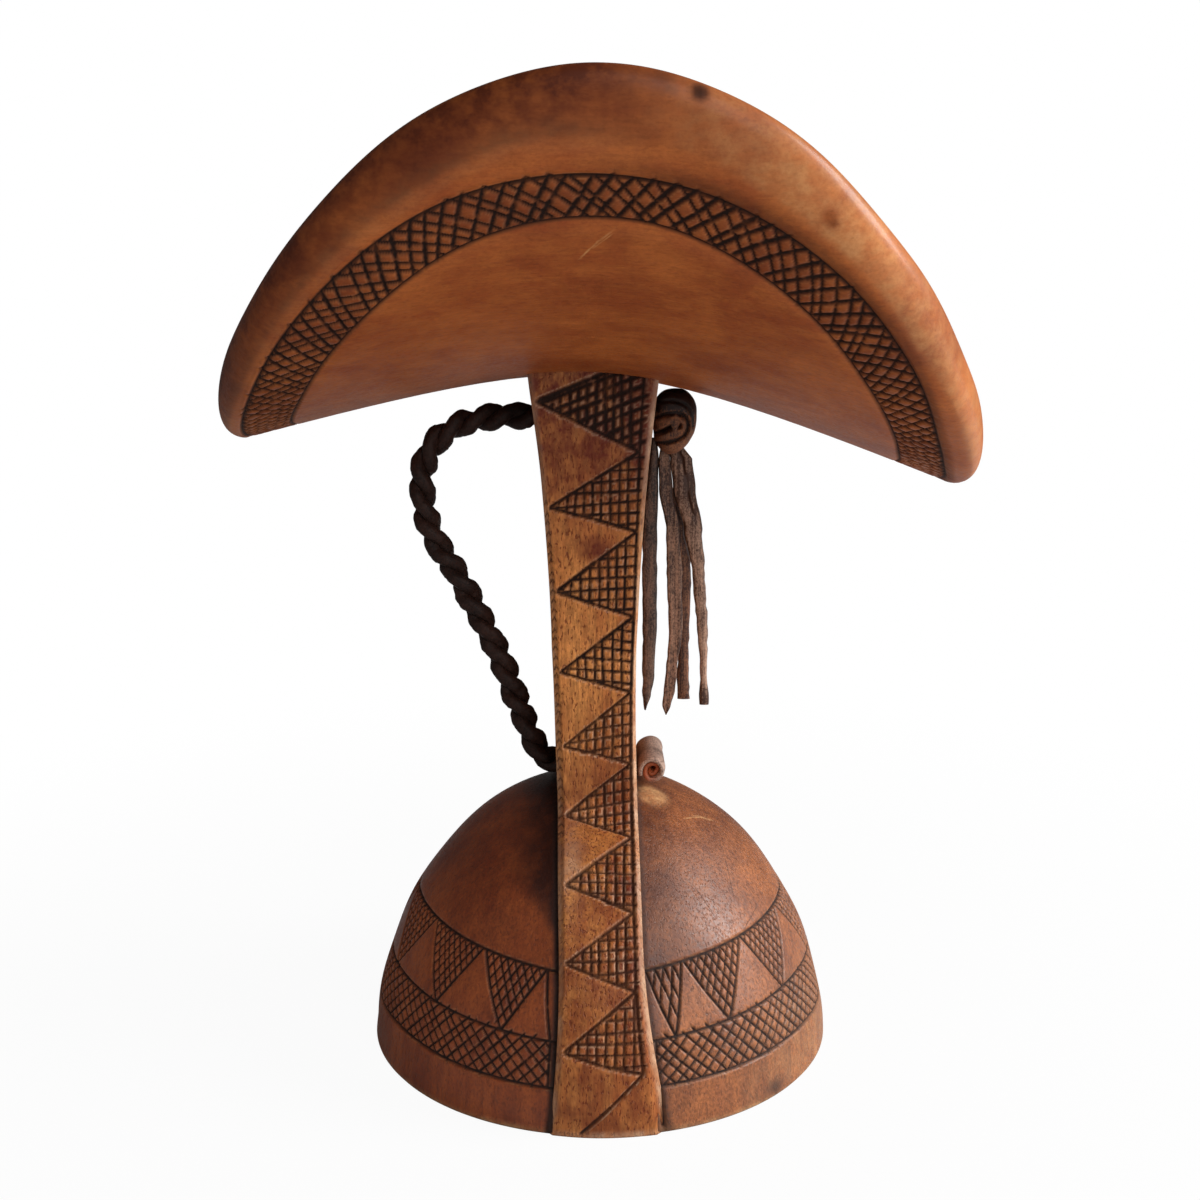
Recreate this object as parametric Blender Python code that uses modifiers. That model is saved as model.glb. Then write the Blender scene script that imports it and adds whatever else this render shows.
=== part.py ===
"""Carved wooden headrest with a leather carrying strap, a tassel and a stop toggle.

The wood is one carved piece: a domed foot, a flat stem that bisects the dome and
a saddle-shaped pillow. Two bores cross the stem from side to side. A leather strap
loops between them on the left, is knotted off into a tassel at the upper bore and
is held by a rolled leather toggle at the lower bore.

Metres, +Z up. The origin is the centre of the foot's flat underside, the stem's
narrow carved edge faces -Y and the strap hangs on the -X side.
"""

import math

import bmesh
import bpy
from mathutils import Matrix, Vector

# Gap between pieces that touch
SEAT_GAP = 0.0003

# Domed foot
FOOT_RADIUS = 0.048
FOOT_HEIGHT = 0.0553
FOOT_SIDE_FULLNESS = 2.11
FOOT_CROWN_FULLNESS = 1.76

# Stem: a flat slab, thin from left to right and deep from front to back
STEM_WAIST_WIDTH = 0.0159
STEM_TOP_SPREAD = 0.0077
STEM_TOP_SPREAD_FROM = 0.072
STEM_TOE_SPREAD = 0.0058
STEM_TOE_SPREAD_TO = 0.0336
STEM_WAIST_DEPTH = 0.0346
STEM_TOP_DEPTH = 0.0432
STEM_TOP_DEPTH_FROM = 0.084
STEM_PROUD_OF_FOOT = 0.0016
STEM_PROUD_ABOVE = 0.014
STEM_TOE_SHIFT = 0.0012
STEM_HEAD_SHIFT = -0.0015
STEM_EDGE_CHAMFER = 0.0012

# Pillow: an oval plate, its ends curled up and its sides drooping
PILLOW_WIDTH = 0.1436
PILLOW_LENGTH = 0.1728
PILLOW_SQUARENESS = 2.3
PILLOW_UNDERSIDE_HEIGHT = 0.1383
PILLOW_THICKNESS = 0.0115
PILLOW_END_RISE = 0.0381
PILLOW_END_CURL = 2.41
PILLOW_SIDE_DROOP = 0.0174
PILLOW_RIDGE_HALF_WIDTH = 0.0279
PILLOW_RIM_ROUND = 0.0042
# Carved by eye: lower on the right, turned a little on the stem, thicker on the right
PILLOW_ROLL = math.radians(3.78)
PILLOW_TURN = math.radians(1.1)
PILLOW_UNEVENNESS = 0.14

# Bores for the strap
BORE_RADIUS = 0.0031
UPPER_BORE_BELOW_PILLOW = 0.0083
LOWER_BORE_ABOVE_FOOT = 0.0007

# Strap, a twisted leather cord
STRAP_RADIUS = 0.0027
STRAP_POINT_SPACING = 0.0054
# Reach from the foot's axis to the left, and drop below the upper bore
STRAP_ROUTE_UPPER = (
    (0.0200, 0.0000),
    (0.0262, 0.0011),
    (0.0317, 0.0039),
    (0.0348, 0.0078),
    (0.0359, 0.0128),
    (0.0356, 0.0183),
    (0.0338, 0.0245),
)
# Reach from the foot's axis to the left, and height above the lower bore
STRAP_ROUTE_LOWER = (
    (0.0285, 0.0383),
    (0.0243, 0.0299),
    (0.0205, 0.0215),
    (0.0173, 0.0129),
    (0.0140, 0.0045),
)

# Tassel knot: a strip wound on itself, its eye facing front
KNOT_WIDTH = 0.0092
KNOT_HEIGHT = 0.0126
KNOT_DEPTH = 0.0084
KNOT_STRIP_THICKNESS = 0.0017
KNOT_TURNS = 1.6
KNOT_WINDING_STEP = 0.0022
KNOT_FOLD_FROM = 0.72
KNOT_BELOW_BORE = 0.0011
KNOT_END_ANGLE = math.radians(-140.0)

# Tassel thongs, flat strips that hang from the knot
THONG_THICKNESS = 0.0012
THONG_HEAD_CLEARANCE = 0.0005
THONG_BACK_LAYER = 0.0024
# For each thong: offset of its head from the knot's middle, whether it hangs in the
# back layer, and its stations as offset from the head, drop and width
THONGS = {
    "tassel_thong_1": (-0.0032, False, (
        (0.0000, 0.0000, 0.0015),
        (-0.0011, 0.0145, 0.0018),
        (-0.0014, 0.0240, 0.0026),
        (-0.0012, 0.0360, 0.0026),
        (-0.0011, 0.0450, 0.0022),
        (-0.0015, 0.0500, 0.0013),
        (-0.0019, 0.0535, 0.0002),
    )),
    "tassel_thong_2": (-0.0014, False, (
        (0.0000, 0.0000, 0.0015),
        (0.0009, 0.0090, 0.0023),
        (0.0020, 0.0230, 0.0032),
        (0.0026, 0.0355, 0.0028),
        (0.0019, 0.0440, 0.0023),
        (0.0014, 0.0485, 0.0024),
        (0.0009, 0.0518, 0.0016),
        (0.0008, 0.0536, 0.0002),
    )),
    "tassel_thong_3": (-0.0012, True, (
        (0.0000, 0.0000, 0.0018),
        (0.0024, 0.0250, 0.0022),
        (0.0031, 0.0360, 0.0020),
        (0.0032, 0.0440, 0.0020),
        (0.0034, 0.0508, 0.0024),
    )),
    "tassel_thong_4": (0.0018, False, (
        (0.0000, 0.0000, 0.0034),
        (0.0016, 0.0090, 0.0036),
        (0.0040, 0.0230, 0.0026),
        (0.0050, 0.0360, 0.0022),
        (0.0053, 0.0420, 0.0015),
        (0.0053, 0.0460, 0.0015),
        (0.0054, 0.0490, 0.0020),
        (0.0055, 0.0513, 0.0020),
    )),
}

# Toggle, a short roll of leather across the lower bore's right mouth
TOGGLE_RADIUS = 0.0027
TOGGLE_LENGTH = 0.0176
TOGGLE_WAIST_RADIUS = 0.0023

# Facets
TURN_STEPS = 72
PILLOW_STEPS = 96
STEM_SECTIONS = 40
BORE_SIDES = 24
KNOT_POINTS_PER_TURN = 24
THONG_ROWS = 12
TOGGLE_STEPS = 20

# Stock below the foot, sawn off flat at the end
SAW_ALLOWANCE = 0.004


def foot_radius_at(height):
    """Radius of the dome at a height over the ground."""
    share = min(max(height / FOOT_HEIGHT, 0.0), 1.0)
    return FOOT_RADIUS * (1.0 - share ** FOOT_CROWN_FULLNESS) ** (1.0 / FOOT_SIDE_FULLNESS)


def foot_height_at(radius):
    """Height of the dome at a distance from its axis."""
    share = min(radius / FOOT_RADIUS, 1.0)
    return FOOT_HEIGHT * (1.0 - share ** FOOT_SIDE_FULLNESS) ** (1.0 / FOOT_CROWN_FULLNESS)


def stem_width_at(height):
    """Thickness of the slab from left to right."""
    top_run = PILLOW_UNDERSIDE_HEIGHT - STEM_TOP_SPREAD_FROM
    top = max(height - STEM_TOP_SPREAD_FROM, 0.0) / top_run
    toe = max(STEM_TOE_SPREAD_TO - max(height, 0.0), 0.0) / STEM_TOE_SPREAD_TO
    return STEM_WAIST_WIDTH + STEM_TOP_SPREAD * top ** 1.87 + STEM_TOE_SPREAD * toe ** 2


def stem_middle_at(height):
    """Sideways place of the slab's middle: it leans a little, as it was carved."""
    share = max(height, 0.0) / PILLOW_UNDERSIDE_HEIGHT
    return STEM_TOE_SHIFT + (STEM_HEAD_SHIFT - STEM_TOE_SHIFT) * min(1.6 * share, 1.0)


def stem_half_depth_at(height):
    """Half depth of the slab: it follows the dome below and narrows to a waist."""
    top_run = PILLOW_UNDERSIDE_HEIGHT - STEM_TOP_DEPTH_FROM
    top = max(height - STEM_TOP_DEPTH_FROM, 0.0) / top_run
    neck = STEM_WAIST_DEPTH / 2 + (STEM_TOP_DEPTH - STEM_WAIST_DEPTH) / 2 * top ** 2
    rising = min(max(height / STEM_PROUD_ABOVE, 0.0), 1.0)
    toe = foot_radius_at(height) + STEM_PROUD_OF_FOOT * rising
    blend = STEM_WAIST_DEPTH / 8
    return (neck + toe + math.sqrt((neck - toe) ** 2 + blend ** 2)) / 2


def stem_face_at(height, side):
    """X of the slab's left (-1) or right (+1) face."""
    return stem_middle_at(height) + side * stem_width_at(height) / 2


def pillow_underside_at(x, y):
    """Height of the pillow's underside."""
    rise = PILLOW_END_RISE * abs(2 * y / PILLOW_LENGTH) ** PILLOW_END_CURL
    bow = math.hypot(PILLOW_RIDGE_HALF_WIDTH, x) - PILLOW_RIDGE_HALF_WIDTH
    full_bow = math.hypot(PILLOW_RIDGE_HALF_WIDTH, PILLOW_WIDTH / 2) - PILLOW_RIDGE_HALF_WIDTH
    droop = PILLOW_SIDE_DROOP * bow / full_bow
    return PILLOW_UNDERSIDE_HEIGHT + rise - droop - math.tan(PILLOW_ROLL) * x


UPPER_BORE_HEIGHT = PILLOW_UNDERSIDE_HEIGHT - UPPER_BORE_BELOW_PILLOW
LOWER_BORE_HEIGHT = foot_height_at(STEM_WAIST_WIDTH / 2) + LOWER_BORE_ABOVE_FOOT + BORE_RADIUS


def new_collection(name):
    group = bpy.data.collections.new(name)
    bpy.context.scene.collection.children.link(group)
    return group


def finish(name, colour, roughness):
    """A Principled material."""
    material = bpy.data.materials.new(name)
    material.use_nodes = True
    shader = material.node_tree.nodes["Principled BSDF"]
    shader.inputs["Base Color"].default_value = (*colour, 1.0)
    shader.inputs["Roughness"].default_value = roughness
    shader.inputs["Metallic"].default_value = 0.0
    return material


def add_object(name, data, group, material=None):
    obj = bpy.data.objects.new(name, data)
    group.objects.link(obj)
    if material:
        data.materials.append(material)
    return obj


def smooth(obj, angle):
    """Smooth shading, with edges over the angle kept sharp."""
    obj.data.shade_smooth()
    obj.data.set_sharp_from_angle(angle=math.radians(angle))


def evaluated_mesh(obj, weld=0.000001):
    """The object's evaluated mesh, with loose caps and poles welded."""
    bpy.context.view_layer.update()
    graph = bpy.context.evaluated_depsgraph_get()
    mesh = bpy.data.meshes.new_from_object(obj.evaluated_get(graph))
    form = bmesh.new()
    form.from_mesh(mesh)
    bmesh.ops.remove_doubles(form, verts=form.verts, dist=weld)
    form.to_mesh(mesh)
    form.free()
    return mesh


def turned(name, profile, steps, group, material=None):
    """A turned solid from a profile that runs from its top down its outer side."""
    mesh = bpy.data.meshes.new(name)
    points = [(radius, 0.0, height) for radius, height in profile]
    edges = [(i, i + 1) for i in range(len(points) - 1)]
    mesh.from_pydata(points, edges, [])
    obj = add_object(name, mesh, group, material)
    screw = obj.modifiers.new("Turn", "SCREW")
    screw.axis = "Z"
    screw.angle = 2 * math.pi
    screw.steps = steps
    screw.render_steps = steps
    screw.use_merge_vertices = True
    screw.merge_threshold = 0.00001
    return obj


def as_tool(obj):
    """Mark an object as one that only joins or cuts another."""
    obj.hide_render = True
    obj.display_type = "WIRE"


def boolean(target, tool, operation):
    modifier = target.modifiers.new(f"{operation.title()} {tool.name}", "BOOLEAN")
    modifier.operation = operation
    modifier.solver = "EXACT"
    modifier.object = tool


def make_foot(group, material):
    """The dome, with stock left under it."""
    rows = 18
    profile = []
    for i in range(rows + 1):
        turn = math.pi / 2 * i / rows
        radius = FOOT_RADIUS * math.sin(turn) ** (2.0 / FOOT_SIDE_FULLNESS)
        height = FOOT_HEIGHT * max(math.cos(turn), 0.0) ** (2.0 / FOOT_CROWN_FULLNESS)
        profile.append((radius, height))
    profile.append((FOOT_RADIUS, -SAW_ALLOWANCE))
    profile.append((0.0, -SAW_ALLOWANCE))
    return turned("carved_body", profile, TURN_STEPS, group, material)


def make_stem(group):
    """The slab: a loft of chamfered rectangles up to the middle of the pillow."""
    top = PILLOW_UNDERSIDE_HEIGHT + PILLOW_THICKNESS / 2
    form = bmesh.new()
    rings = []
    for i in range(STEM_SECTIONS + 1):
        height = -SAW_ALLOWANCE + (top + SAW_ALLOWANCE) * i / STEM_SECTIONS
        middle = stem_middle_at(height)
        half_width = stem_width_at(height) / 2
        half_depth = stem_half_depth_at(height)
        cut = STEM_EDGE_CHAMFER
        corner = (
            (half_width - cut, -half_depth),
            (half_width, cut - half_depth),
            (half_width, half_depth - cut),
            (half_width - cut, half_depth),
            (cut - half_width, half_depth),
            (-half_width, half_depth - cut),
            (-half_width, cut - half_depth),
            (cut - half_width, -half_depth),
        )
        rings.append([form.verts.new((middle + x, y, height)) for x, y in corner])
    for lower, upper in zip(rings, rings[1:]):
        for i in range(len(lower)):
            j = (i + 1) % len(lower)
            form.faces.new((lower[i], lower[j], upper[j], upper[i]))
    form.faces.new(reversed(rings[0]))
    form.faces.new(rings[-1])
    mesh = bpy.data.meshes.new("stem_slab")
    form.to_mesh(mesh)
    form.free()
    stem = add_object("stem_slab", mesh, group)
    as_tool(stem)
    return stem


def make_pillow(group):
    """A turned round-edged disc, drawn out to an oval and bent into a saddle."""
    flat = 1.0 - 2 * PILLOW_RIM_ROUND / PILLOW_WIDTH
    rings = 7
    rim_rows = 8
    profile = [(flat * i / rings, PILLOW_THICKNESS) for i in range(rings)]
    for i in range(rim_rows + 1):
        turn = math.pi * i / rim_rows
        radius = flat + (1.0 - flat) * math.sin(turn) ** 0.8
        profile.append((radius, PILLOW_THICKNESS * (1 + math.cos(turn)) / 2))
    profile += [(flat * i / rings, 0.0) for i in reversed(range(rings))]
    disc = turned("pillow_disc", profile, PILLOW_STEPS, group)
    mesh = evaluated_mesh(disc)
    mesh.name = "pillow_saddle"
    power = 2.0 / PILLOW_SQUARENESS
    turned_on_stem = Matrix.Rotation(PILLOW_TURN, 3, "Z")
    for vertex in mesh.vertices:
        ring = math.hypot(vertex.co.x, vertex.co.y)
        turn = math.atan2(vertex.co.y, vertex.co.x)
        x = ring * PILLOW_WIDTH / 2 * math.copysign(abs(math.cos(turn)) ** power, math.cos(turn))
        y = ring * PILLOW_LENGTH / 2 * math.copysign(abs(math.sin(turn)) ** power, math.sin(turn))
        thickness = vertex.co.z * (1 + PILLOW_UNEVENNESS * x / PILLOW_WIDTH)
        vertex.co = turned_on_stem @ Vector((x, y, pillow_underside_at(x, y) + thickness))
    bpy.data.objects.remove(disc, do_unlink=True)
    pillow = add_object("pillow_saddle", mesh, group)
    as_tool(pillow)
    return pillow


def make_bore(name, height, group):
    """A cutter from side to side through the stem."""
    form = bmesh.new()
    length = stem_width_at(height) + 2 * BORE_RADIUS
    bmesh.ops.create_cone(form, cap_ends=True, segments=BORE_SIDES, radius1=BORE_RADIUS,
                          radius2=BORE_RADIUS, depth=length)
    mesh = bpy.data.meshes.new(name)
    form.to_mesh(mesh)
    form.free()
    cutter = add_object(name, mesh, group)
    cutter.location = (stem_middle_at(height), 0.0, height)
    cutter.rotation_euler = (0.0, math.pi / 2, 0.0)
    as_tool(cutter)
    return cutter


def make_saw(group):
    """A block under the ground that trims the foot flat."""
    form = bmesh.new()
    bmesh.ops.create_cube(form, size=1.0)
    mesh = bpy.data.meshes.new("foot_saw")
    form.to_mesh(mesh)
    form.free()
    saw = add_object("foot_saw", mesh, group)
    span = 4 * FOOT_RADIUS
    saw.scale = (span, span, 2 * SAW_ALLOWANCE)
    saw.location = (0.0, 0.0, -SAW_ALLOWANCE)
    as_tool(saw)
    return saw


def make_body(parts, tools, wood):
    """Foot, stem and pillow are one piece of wood."""
    body = make_foot(parts, wood)
    boolean(body, make_stem(tools), "UNION")
    boolean(body, make_pillow(tools), "UNION")
    boolean(body, make_bore("upper_bore", UPPER_BORE_HEIGHT, tools), "DIFFERENCE")
    boolean(body, make_bore("lower_bore", LOWER_BORE_HEIGHT, tools), "DIFFERENCE")
    boolean(body, make_saw(tools), "DIFFERENCE")
    smooth(body, 40)
    return body


def strap_anchor(height):
    """Where the strap turns just outside a bore's left mouth."""
    return Vector((stem_face_at(height, -1) - STRAP_RADIUS - SEAT_GAP, 0.0, height))


def spline_point(before, start, end, after, share):
    """A point of the smooth curve through four neighbours."""
    a = 2 * start
    b = end - before
    c = 2 * before - 5 * start + 4 * end - after
    d = 3 * (start - end) + after - before
    return (a + b * share + c * share ** 2 + d * share ** 3) / 2


def strap_path():
    """Even points on a smooth curve from the lower anchor to the upper one."""
    lower = strap_anchor(LOWER_BORE_HEIGHT)
    upper = strap_anchor(UPPER_BORE_HEIGHT)
    route = [lower]
    for reach, climb in reversed(STRAP_ROUTE_LOWER):
        route.append(Vector((-reach, 0.0, LOWER_BORE_HEIGHT + climb)))
    for reach, drop in reversed(STRAP_ROUTE_UPPER):
        route.append(Vector((-reach, 0.0, UPPER_BORE_HEIGHT - drop)))
    route.append(upper)
    route = [2 * route[0] - route[1]] + route + [2 * route[-1] - route[-2]]
    fine = []
    for i in range(1, len(route) - 2):
        fine += [spline_point(*route[i - 1:i + 3], k / 20) for k in range(20)]
    fine.append(upper)
    travelled = [0.0]
    for first, second in zip(fine, fine[1:]):
        travelled.append(travelled[-1] + (second - first).length)
    count = round(travelled[-1] / STRAP_POINT_SPACING)
    points = []
    for k in range(count + 1):
        wanted = travelled[-1] * k / count
        i = max(j for j in range(len(fine)) if travelled[j] <= wanted + 1e-9)
        i = min(i, len(fine) - 2)
        share = (wanted - travelled[i]) / (travelled[i + 1] - travelled[i])
        points.append(fine[i].lerp(fine[i + 1], min(share, 1.0)))
    return points, travelled[-1]


def tube(name, points, radii, group, material, origin):
    """A round cord along points, as a curve with filled caps."""
    curve = bpy.data.curves.new(name, "CURVE")
    curve.dimensions = "3D"
    curve.bevel_depth = STRAP_RADIUS
    curve.bevel_resolution = 3
    curve.use_fill_caps = True
    line = curve.splines.new("POLY")
    line.points.add(len(points) - 1)
    for spot, point, radius in zip(line.points, points, radii):
        spot.co = (*(point - origin), 1.0)
        spot.radius = radius
    obj = add_object(name, curve, group, material)
    obj.location = origin
    return obj


def rounded_end(anchor, direction):
    """Points and radii that close a cord's end with half a ball round its anchor."""
    turns = [math.radians(angle) for angle in (75, 50, 25)]
    points = [anchor + direction * STRAP_RADIUS * math.sin(turn) for turn in turns]
    return points, [math.cos(turn) for turn in turns]


def make_strap(parts, leather):
    """The free loop, from just outside the lower bore to just outside the upper one."""
    points, length = strap_path()
    first = (points[0] - points[1]).normalized()
    last = (points[-1] - points[-2]).normalized()
    start_points, start_radii = rounded_end(points[0], first)
    end_points, end_radii = rounded_end(points[-1], last)
    full = start_points + points + end_points[::-1]
    radii = start_radii + [1.0] * len(points) + end_radii[::-1]
    tube("strap_loop", full, radii, parts, leather, points[0])
    print(f"strap loop: {length * 1000:.1f} mm between its anchors, lower {tuple(points[0])},"
          f" upper {tuple(points[-1])}")


def make_strap_tail(name, height, parts, leather):
    """The strap inside a bore, from mouth to mouth."""
    left = Vector((stem_face_at(height, -1), 0.0, height))
    right = Vector((stem_face_at(height, 1), 0.0, height))
    middle = (left + right) / 2
    tube(name, [left, middle, right], [1.0, 1.0, 1.0], parts, leather, middle)


def knot_middle():
    x = stem_face_at(UPPER_BORE_HEIGHT, 1) + SEAT_GAP + KNOT_WIDTH / 2
    return Vector((x, 0.0, UPPER_BORE_HEIGHT - KNOT_BELOW_BORE))


def knot_winding():
    """The strip's middle line, wound from the eye out to its end at the lower left."""
    half_wide = (KNOT_WIDTH - KNOT_STRIP_THICKNESS) / 2
    half_high = (KNOT_HEIGHT - KNOT_STRIP_THICKNESS) / 2
    count = round(KNOT_TURNS * KNOT_POINTS_PER_TURN)
    points = []
    for i in range(count + 1):
        turns_left = KNOT_TURNS * (1 - i / count)
        fold = min(max((turns_left - KNOT_FOLD_FROM) / (1 - KNOT_FOLD_FROM), 0.0), 1.0)
        inset = KNOT_WINDING_STEP * fold * fold * (3 - 2 * fold)
        turn = KNOT_END_ANGLE + 2 * math.pi * turns_left
        points.append(Vector(((half_wide - inset) * math.cos(turn),
                              (half_high - inset) * math.sin(turn))))
    return points


def make_knot(parts, leather):
    """The tassel's knot, an open ribbon given its thickness."""
    points = knot_winding()
    turn_apart = KNOT_POINTS_PER_TURN // 2
    gap = min((points[i] - points[j]).length
              for i in range(len(points)) for j in range(i + turn_apart, len(points)))
    print(f"tassel knot: least gap to itself {(gap - KNOT_STRIP_THICKNESS) * 1000:.2f} mm")
    curve = bpy.data.curves.new("knot_ribbon", "CURVE")
    curve.dimensions = "2D"
    curve.fill_mode = "NONE"
    curve.extrude = KNOT_DEPTH / 2
    line = curve.splines.new("POLY")
    line.points.add(len(points) - 1)
    for spot, point in zip(line.points, points):
        spot.co = (point.x, point.y, 0.0, 1.0)
    ribbon = add_object("knot_ribbon", curve, parts)
    mesh = evaluated_mesh(ribbon)
    mesh.name = "tassel_knot"
    bpy.data.objects.remove(ribbon, do_unlink=True)
    knot = add_object("tassel_knot", mesh, parts, leather)
    knot.location = knot_middle()
    knot.rotation_euler = (math.pi / 2, 0.0, 0.0)
    wall = knot.modifiers.new("Strip thickness", "SOLIDIFY")
    wall.thickness = KNOT_STRIP_THICKNESS
    wall.offset = 0.0
    wall.use_even_offset = True
    smooth(knot, 50)


def thong_head(offset, half_width, in_back):
    """The hinge point of a thong, under the knot's round underside."""
    middle = knot_middle()
    nearest = max(abs(offset) - half_width, 0.0)
    below = KNOT_HEIGHT / 2 * math.sqrt(max(1 - (2 * nearest / KNOT_WIDTH) ** 2, 0.0))
    layer = THONG_BACK_LAYER if in_back else 0.0
    drop = below + THONG_HEAD_CLEARANCE + THONG_THICKNESS / 2
    return middle + Vector((offset, layer, -drop))


def station_at(stations, drop):
    """Offset and width of a thong at a drop, eased between its stations."""
    for upper, lower in zip(stations, stations[1:]):
        if drop <= lower[1]:
            share = (drop - upper[1]) / (lower[1] - upper[1])
            eased = share * share * (3 - 2 * share)
            return (upper[0] + (lower[0] - upper[0]) * eased,
                    upper[2] + (lower[2] - upper[2]) * share)
    return stations[-1][0], stations[-1][2]


def make_thong(name, parts, leather):
    """A flat strip, drawn as its outline and extruded."""
    offset, in_back, stations = THONGS[name]
    head = thong_head(offset, stations[0][2] / 2, in_back)
    length = stations[-1][1]
    left = []
    right = []
    for i in range(THONG_ROWS + 1):
        drop = length * i / THONG_ROWS
        middle, width = station_at(stations, drop)
        height = THONG_THICKNESS / 2 - drop
        left.append((middle - width / 2, height))
        right.append((middle + width / 2, height))
    outline = left + right[::-1]
    curve = bpy.data.curves.new(name, "CURVE")
    curve.dimensions = "2D"
    curve.fill_mode = "BOTH"
    curve.extrude = THONG_THICKNESS / 2
    line = curve.splines.new("POLY")
    line.use_cyclic_u = True
    line.points.add(len(outline) - 1)
    for spot, (x, y) in zip(line.points, outline):
        spot.co = (x, y, 0.0, 1.0)
    thong = add_object(name, curve, parts, leather)
    thong.location = head
    thong.rotation_euler = (math.pi / 2, 0.0, 0.0)
    print(f"{name}: {length * 1000:.1f} mm, hinge at {tuple(head)}")


def make_toggle(parts, leather):
    """The stop toggle, drawn in a little where the strap holds it."""
    half = TOGGLE_LENGTH / 2
    edge = TOGGLE_RADIUS / 5
    profile = [
        (0.0, half),
        (TOGGLE_RADIUS - edge, half),
        (TOGGLE_RADIUS, half - edge),
        (TOGGLE_RADIUS, half / 2),
        (TOGGLE_WAIST_RADIUS, half / 5),
        (TOGGLE_WAIST_RADIUS, -half / 5),
        (TOGGLE_RADIUS, -half / 2),
        (TOGGLE_RADIUS, edge - half),
        (TOGGLE_RADIUS - edge, -half),
        (0.0, -half),
    ]
    toggle = turned("stop_toggle", profile, TOGGLE_STEPS, parts, leather)
    x = stem_face_at(LOWER_BORE_HEIGHT, 1) + SEAT_GAP + TOGGLE_RADIUS
    toggle.location = (x, 0.0, LOWER_BORE_HEIGHT)
    toggle.rotation_euler = (math.pi / 2, 0.0, 0.0)
    smooth(toggle, 40)
    print(f"stop toggle: middle at {tuple(toggle.location)}")


def main():
    for obj in list(bpy.data.objects):
        bpy.data.objects.remove(obj, do_unlink=True)
    parts = new_collection("carved_headrest")
    tools = new_collection("carved_headrest_tools")
    wood = finish("carved_wood", (0.36, 0.17, 0.065), 0.45)
    strap_leather = finish("strap_leather", (0.045, 0.026, 0.02), 0.6)
    tassel_leather = finish("tassel_leather", (0.16, 0.09, 0.06), 0.8)
    toggle_leather = finish("toggle_leather", (0.22, 0.1, 0.065), 0.7)
    make_body(parts, tools, wood)
    make_strap(parts, strap_leather)
    make_strap_tail("strap_upper_tail", UPPER_BORE_HEIGHT, parts, strap_leather)
    make_strap_tail("strap_lower_tail", LOWER_BORE_HEIGHT, parts, strap_leather)
    make_knot(parts, tassel_leather)
    for name in THONGS:
        make_thong(name, parts, tassel_leather)
    make_toggle(parts, toggle_leather)


main()
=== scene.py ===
"""Carved wooden headrest: a saddle pillow on a flat stem that bisects a domed
foot, with a twisted leather carrying strap, a leather tassel and a stop toggle."""

import math

import bmesh
import bpy
import numpy as np
from bpy.props import FloatProperty, FloatVectorProperty, PointerProperty
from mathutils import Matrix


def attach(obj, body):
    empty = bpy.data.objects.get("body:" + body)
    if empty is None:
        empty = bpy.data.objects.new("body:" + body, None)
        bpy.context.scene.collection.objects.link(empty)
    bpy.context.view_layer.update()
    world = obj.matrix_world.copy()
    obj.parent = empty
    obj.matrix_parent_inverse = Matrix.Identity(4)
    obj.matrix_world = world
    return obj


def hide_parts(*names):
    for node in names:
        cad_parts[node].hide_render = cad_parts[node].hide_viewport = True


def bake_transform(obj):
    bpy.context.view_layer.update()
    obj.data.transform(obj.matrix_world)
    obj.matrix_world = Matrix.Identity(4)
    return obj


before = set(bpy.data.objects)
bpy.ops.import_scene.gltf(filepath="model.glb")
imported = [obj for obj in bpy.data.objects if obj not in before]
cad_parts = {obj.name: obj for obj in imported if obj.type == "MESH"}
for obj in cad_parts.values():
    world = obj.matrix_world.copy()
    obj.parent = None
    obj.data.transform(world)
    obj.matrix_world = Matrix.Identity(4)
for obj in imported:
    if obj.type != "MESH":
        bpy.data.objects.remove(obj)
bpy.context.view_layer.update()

bl_info = {
    "name": "Carved Headrest",
    "version": (1, 0, 0),
    "blender": (4, 5, 0),
    "location": "3D View > Sidebar > Headrest",
    "description": "Builds a carved wooden headrest with its leather fittings",
    "category": "Object",
}

# Fixed proportions of the carved block, in metres and radians
PILLOW_TURN = math.radians(1.1)
PILLOW_TILT = math.radians(3.78)
PILLOW_RIDGE = 0.0279
PILLOW_ROUNDNESS = 2.3
PILLOW_THICKENING = 0.14
RIM_BREADTH = 0.0042
STEM_TOP = 0.1440
UNDERSIDE_HEIGHT = 0.1383
UPPER_BORE = 0.130
LOWER_BORE = 0.0583893
BORE_RADIUS = 0.0031


def srgb(red, green, blue):
    """Linear colour of an 8 bit display colour."""
    values = np.array([red, green, blue]) / 255.0
    linear = np.where(values <= 0.04045, values / 12.92, ((values + 0.055) / 1.055) ** 2.4)
    return tuple(float(v) for v in linear)


def length(name, default, description):
    """A length a user can change, in metres."""
    return FloatProperty(
        name=name, description=description, default=default, min=0.0, precision=5, subtype="DISTANCE", unit="LENGTH"
    )


def colour(name, shade, description):
    """A colour a user can change, given as a display colour."""
    return FloatVectorProperty(
        name=name, description=description, default=srgb(*shade), size=3, min=0.0, max=1.0, subtype="COLOR"
    )


def power(name, default, description):
    """The power of a light a user can change."""
    return FloatProperty(name=name, description=description, default=default, min=0.0, unit="POWER")


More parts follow.
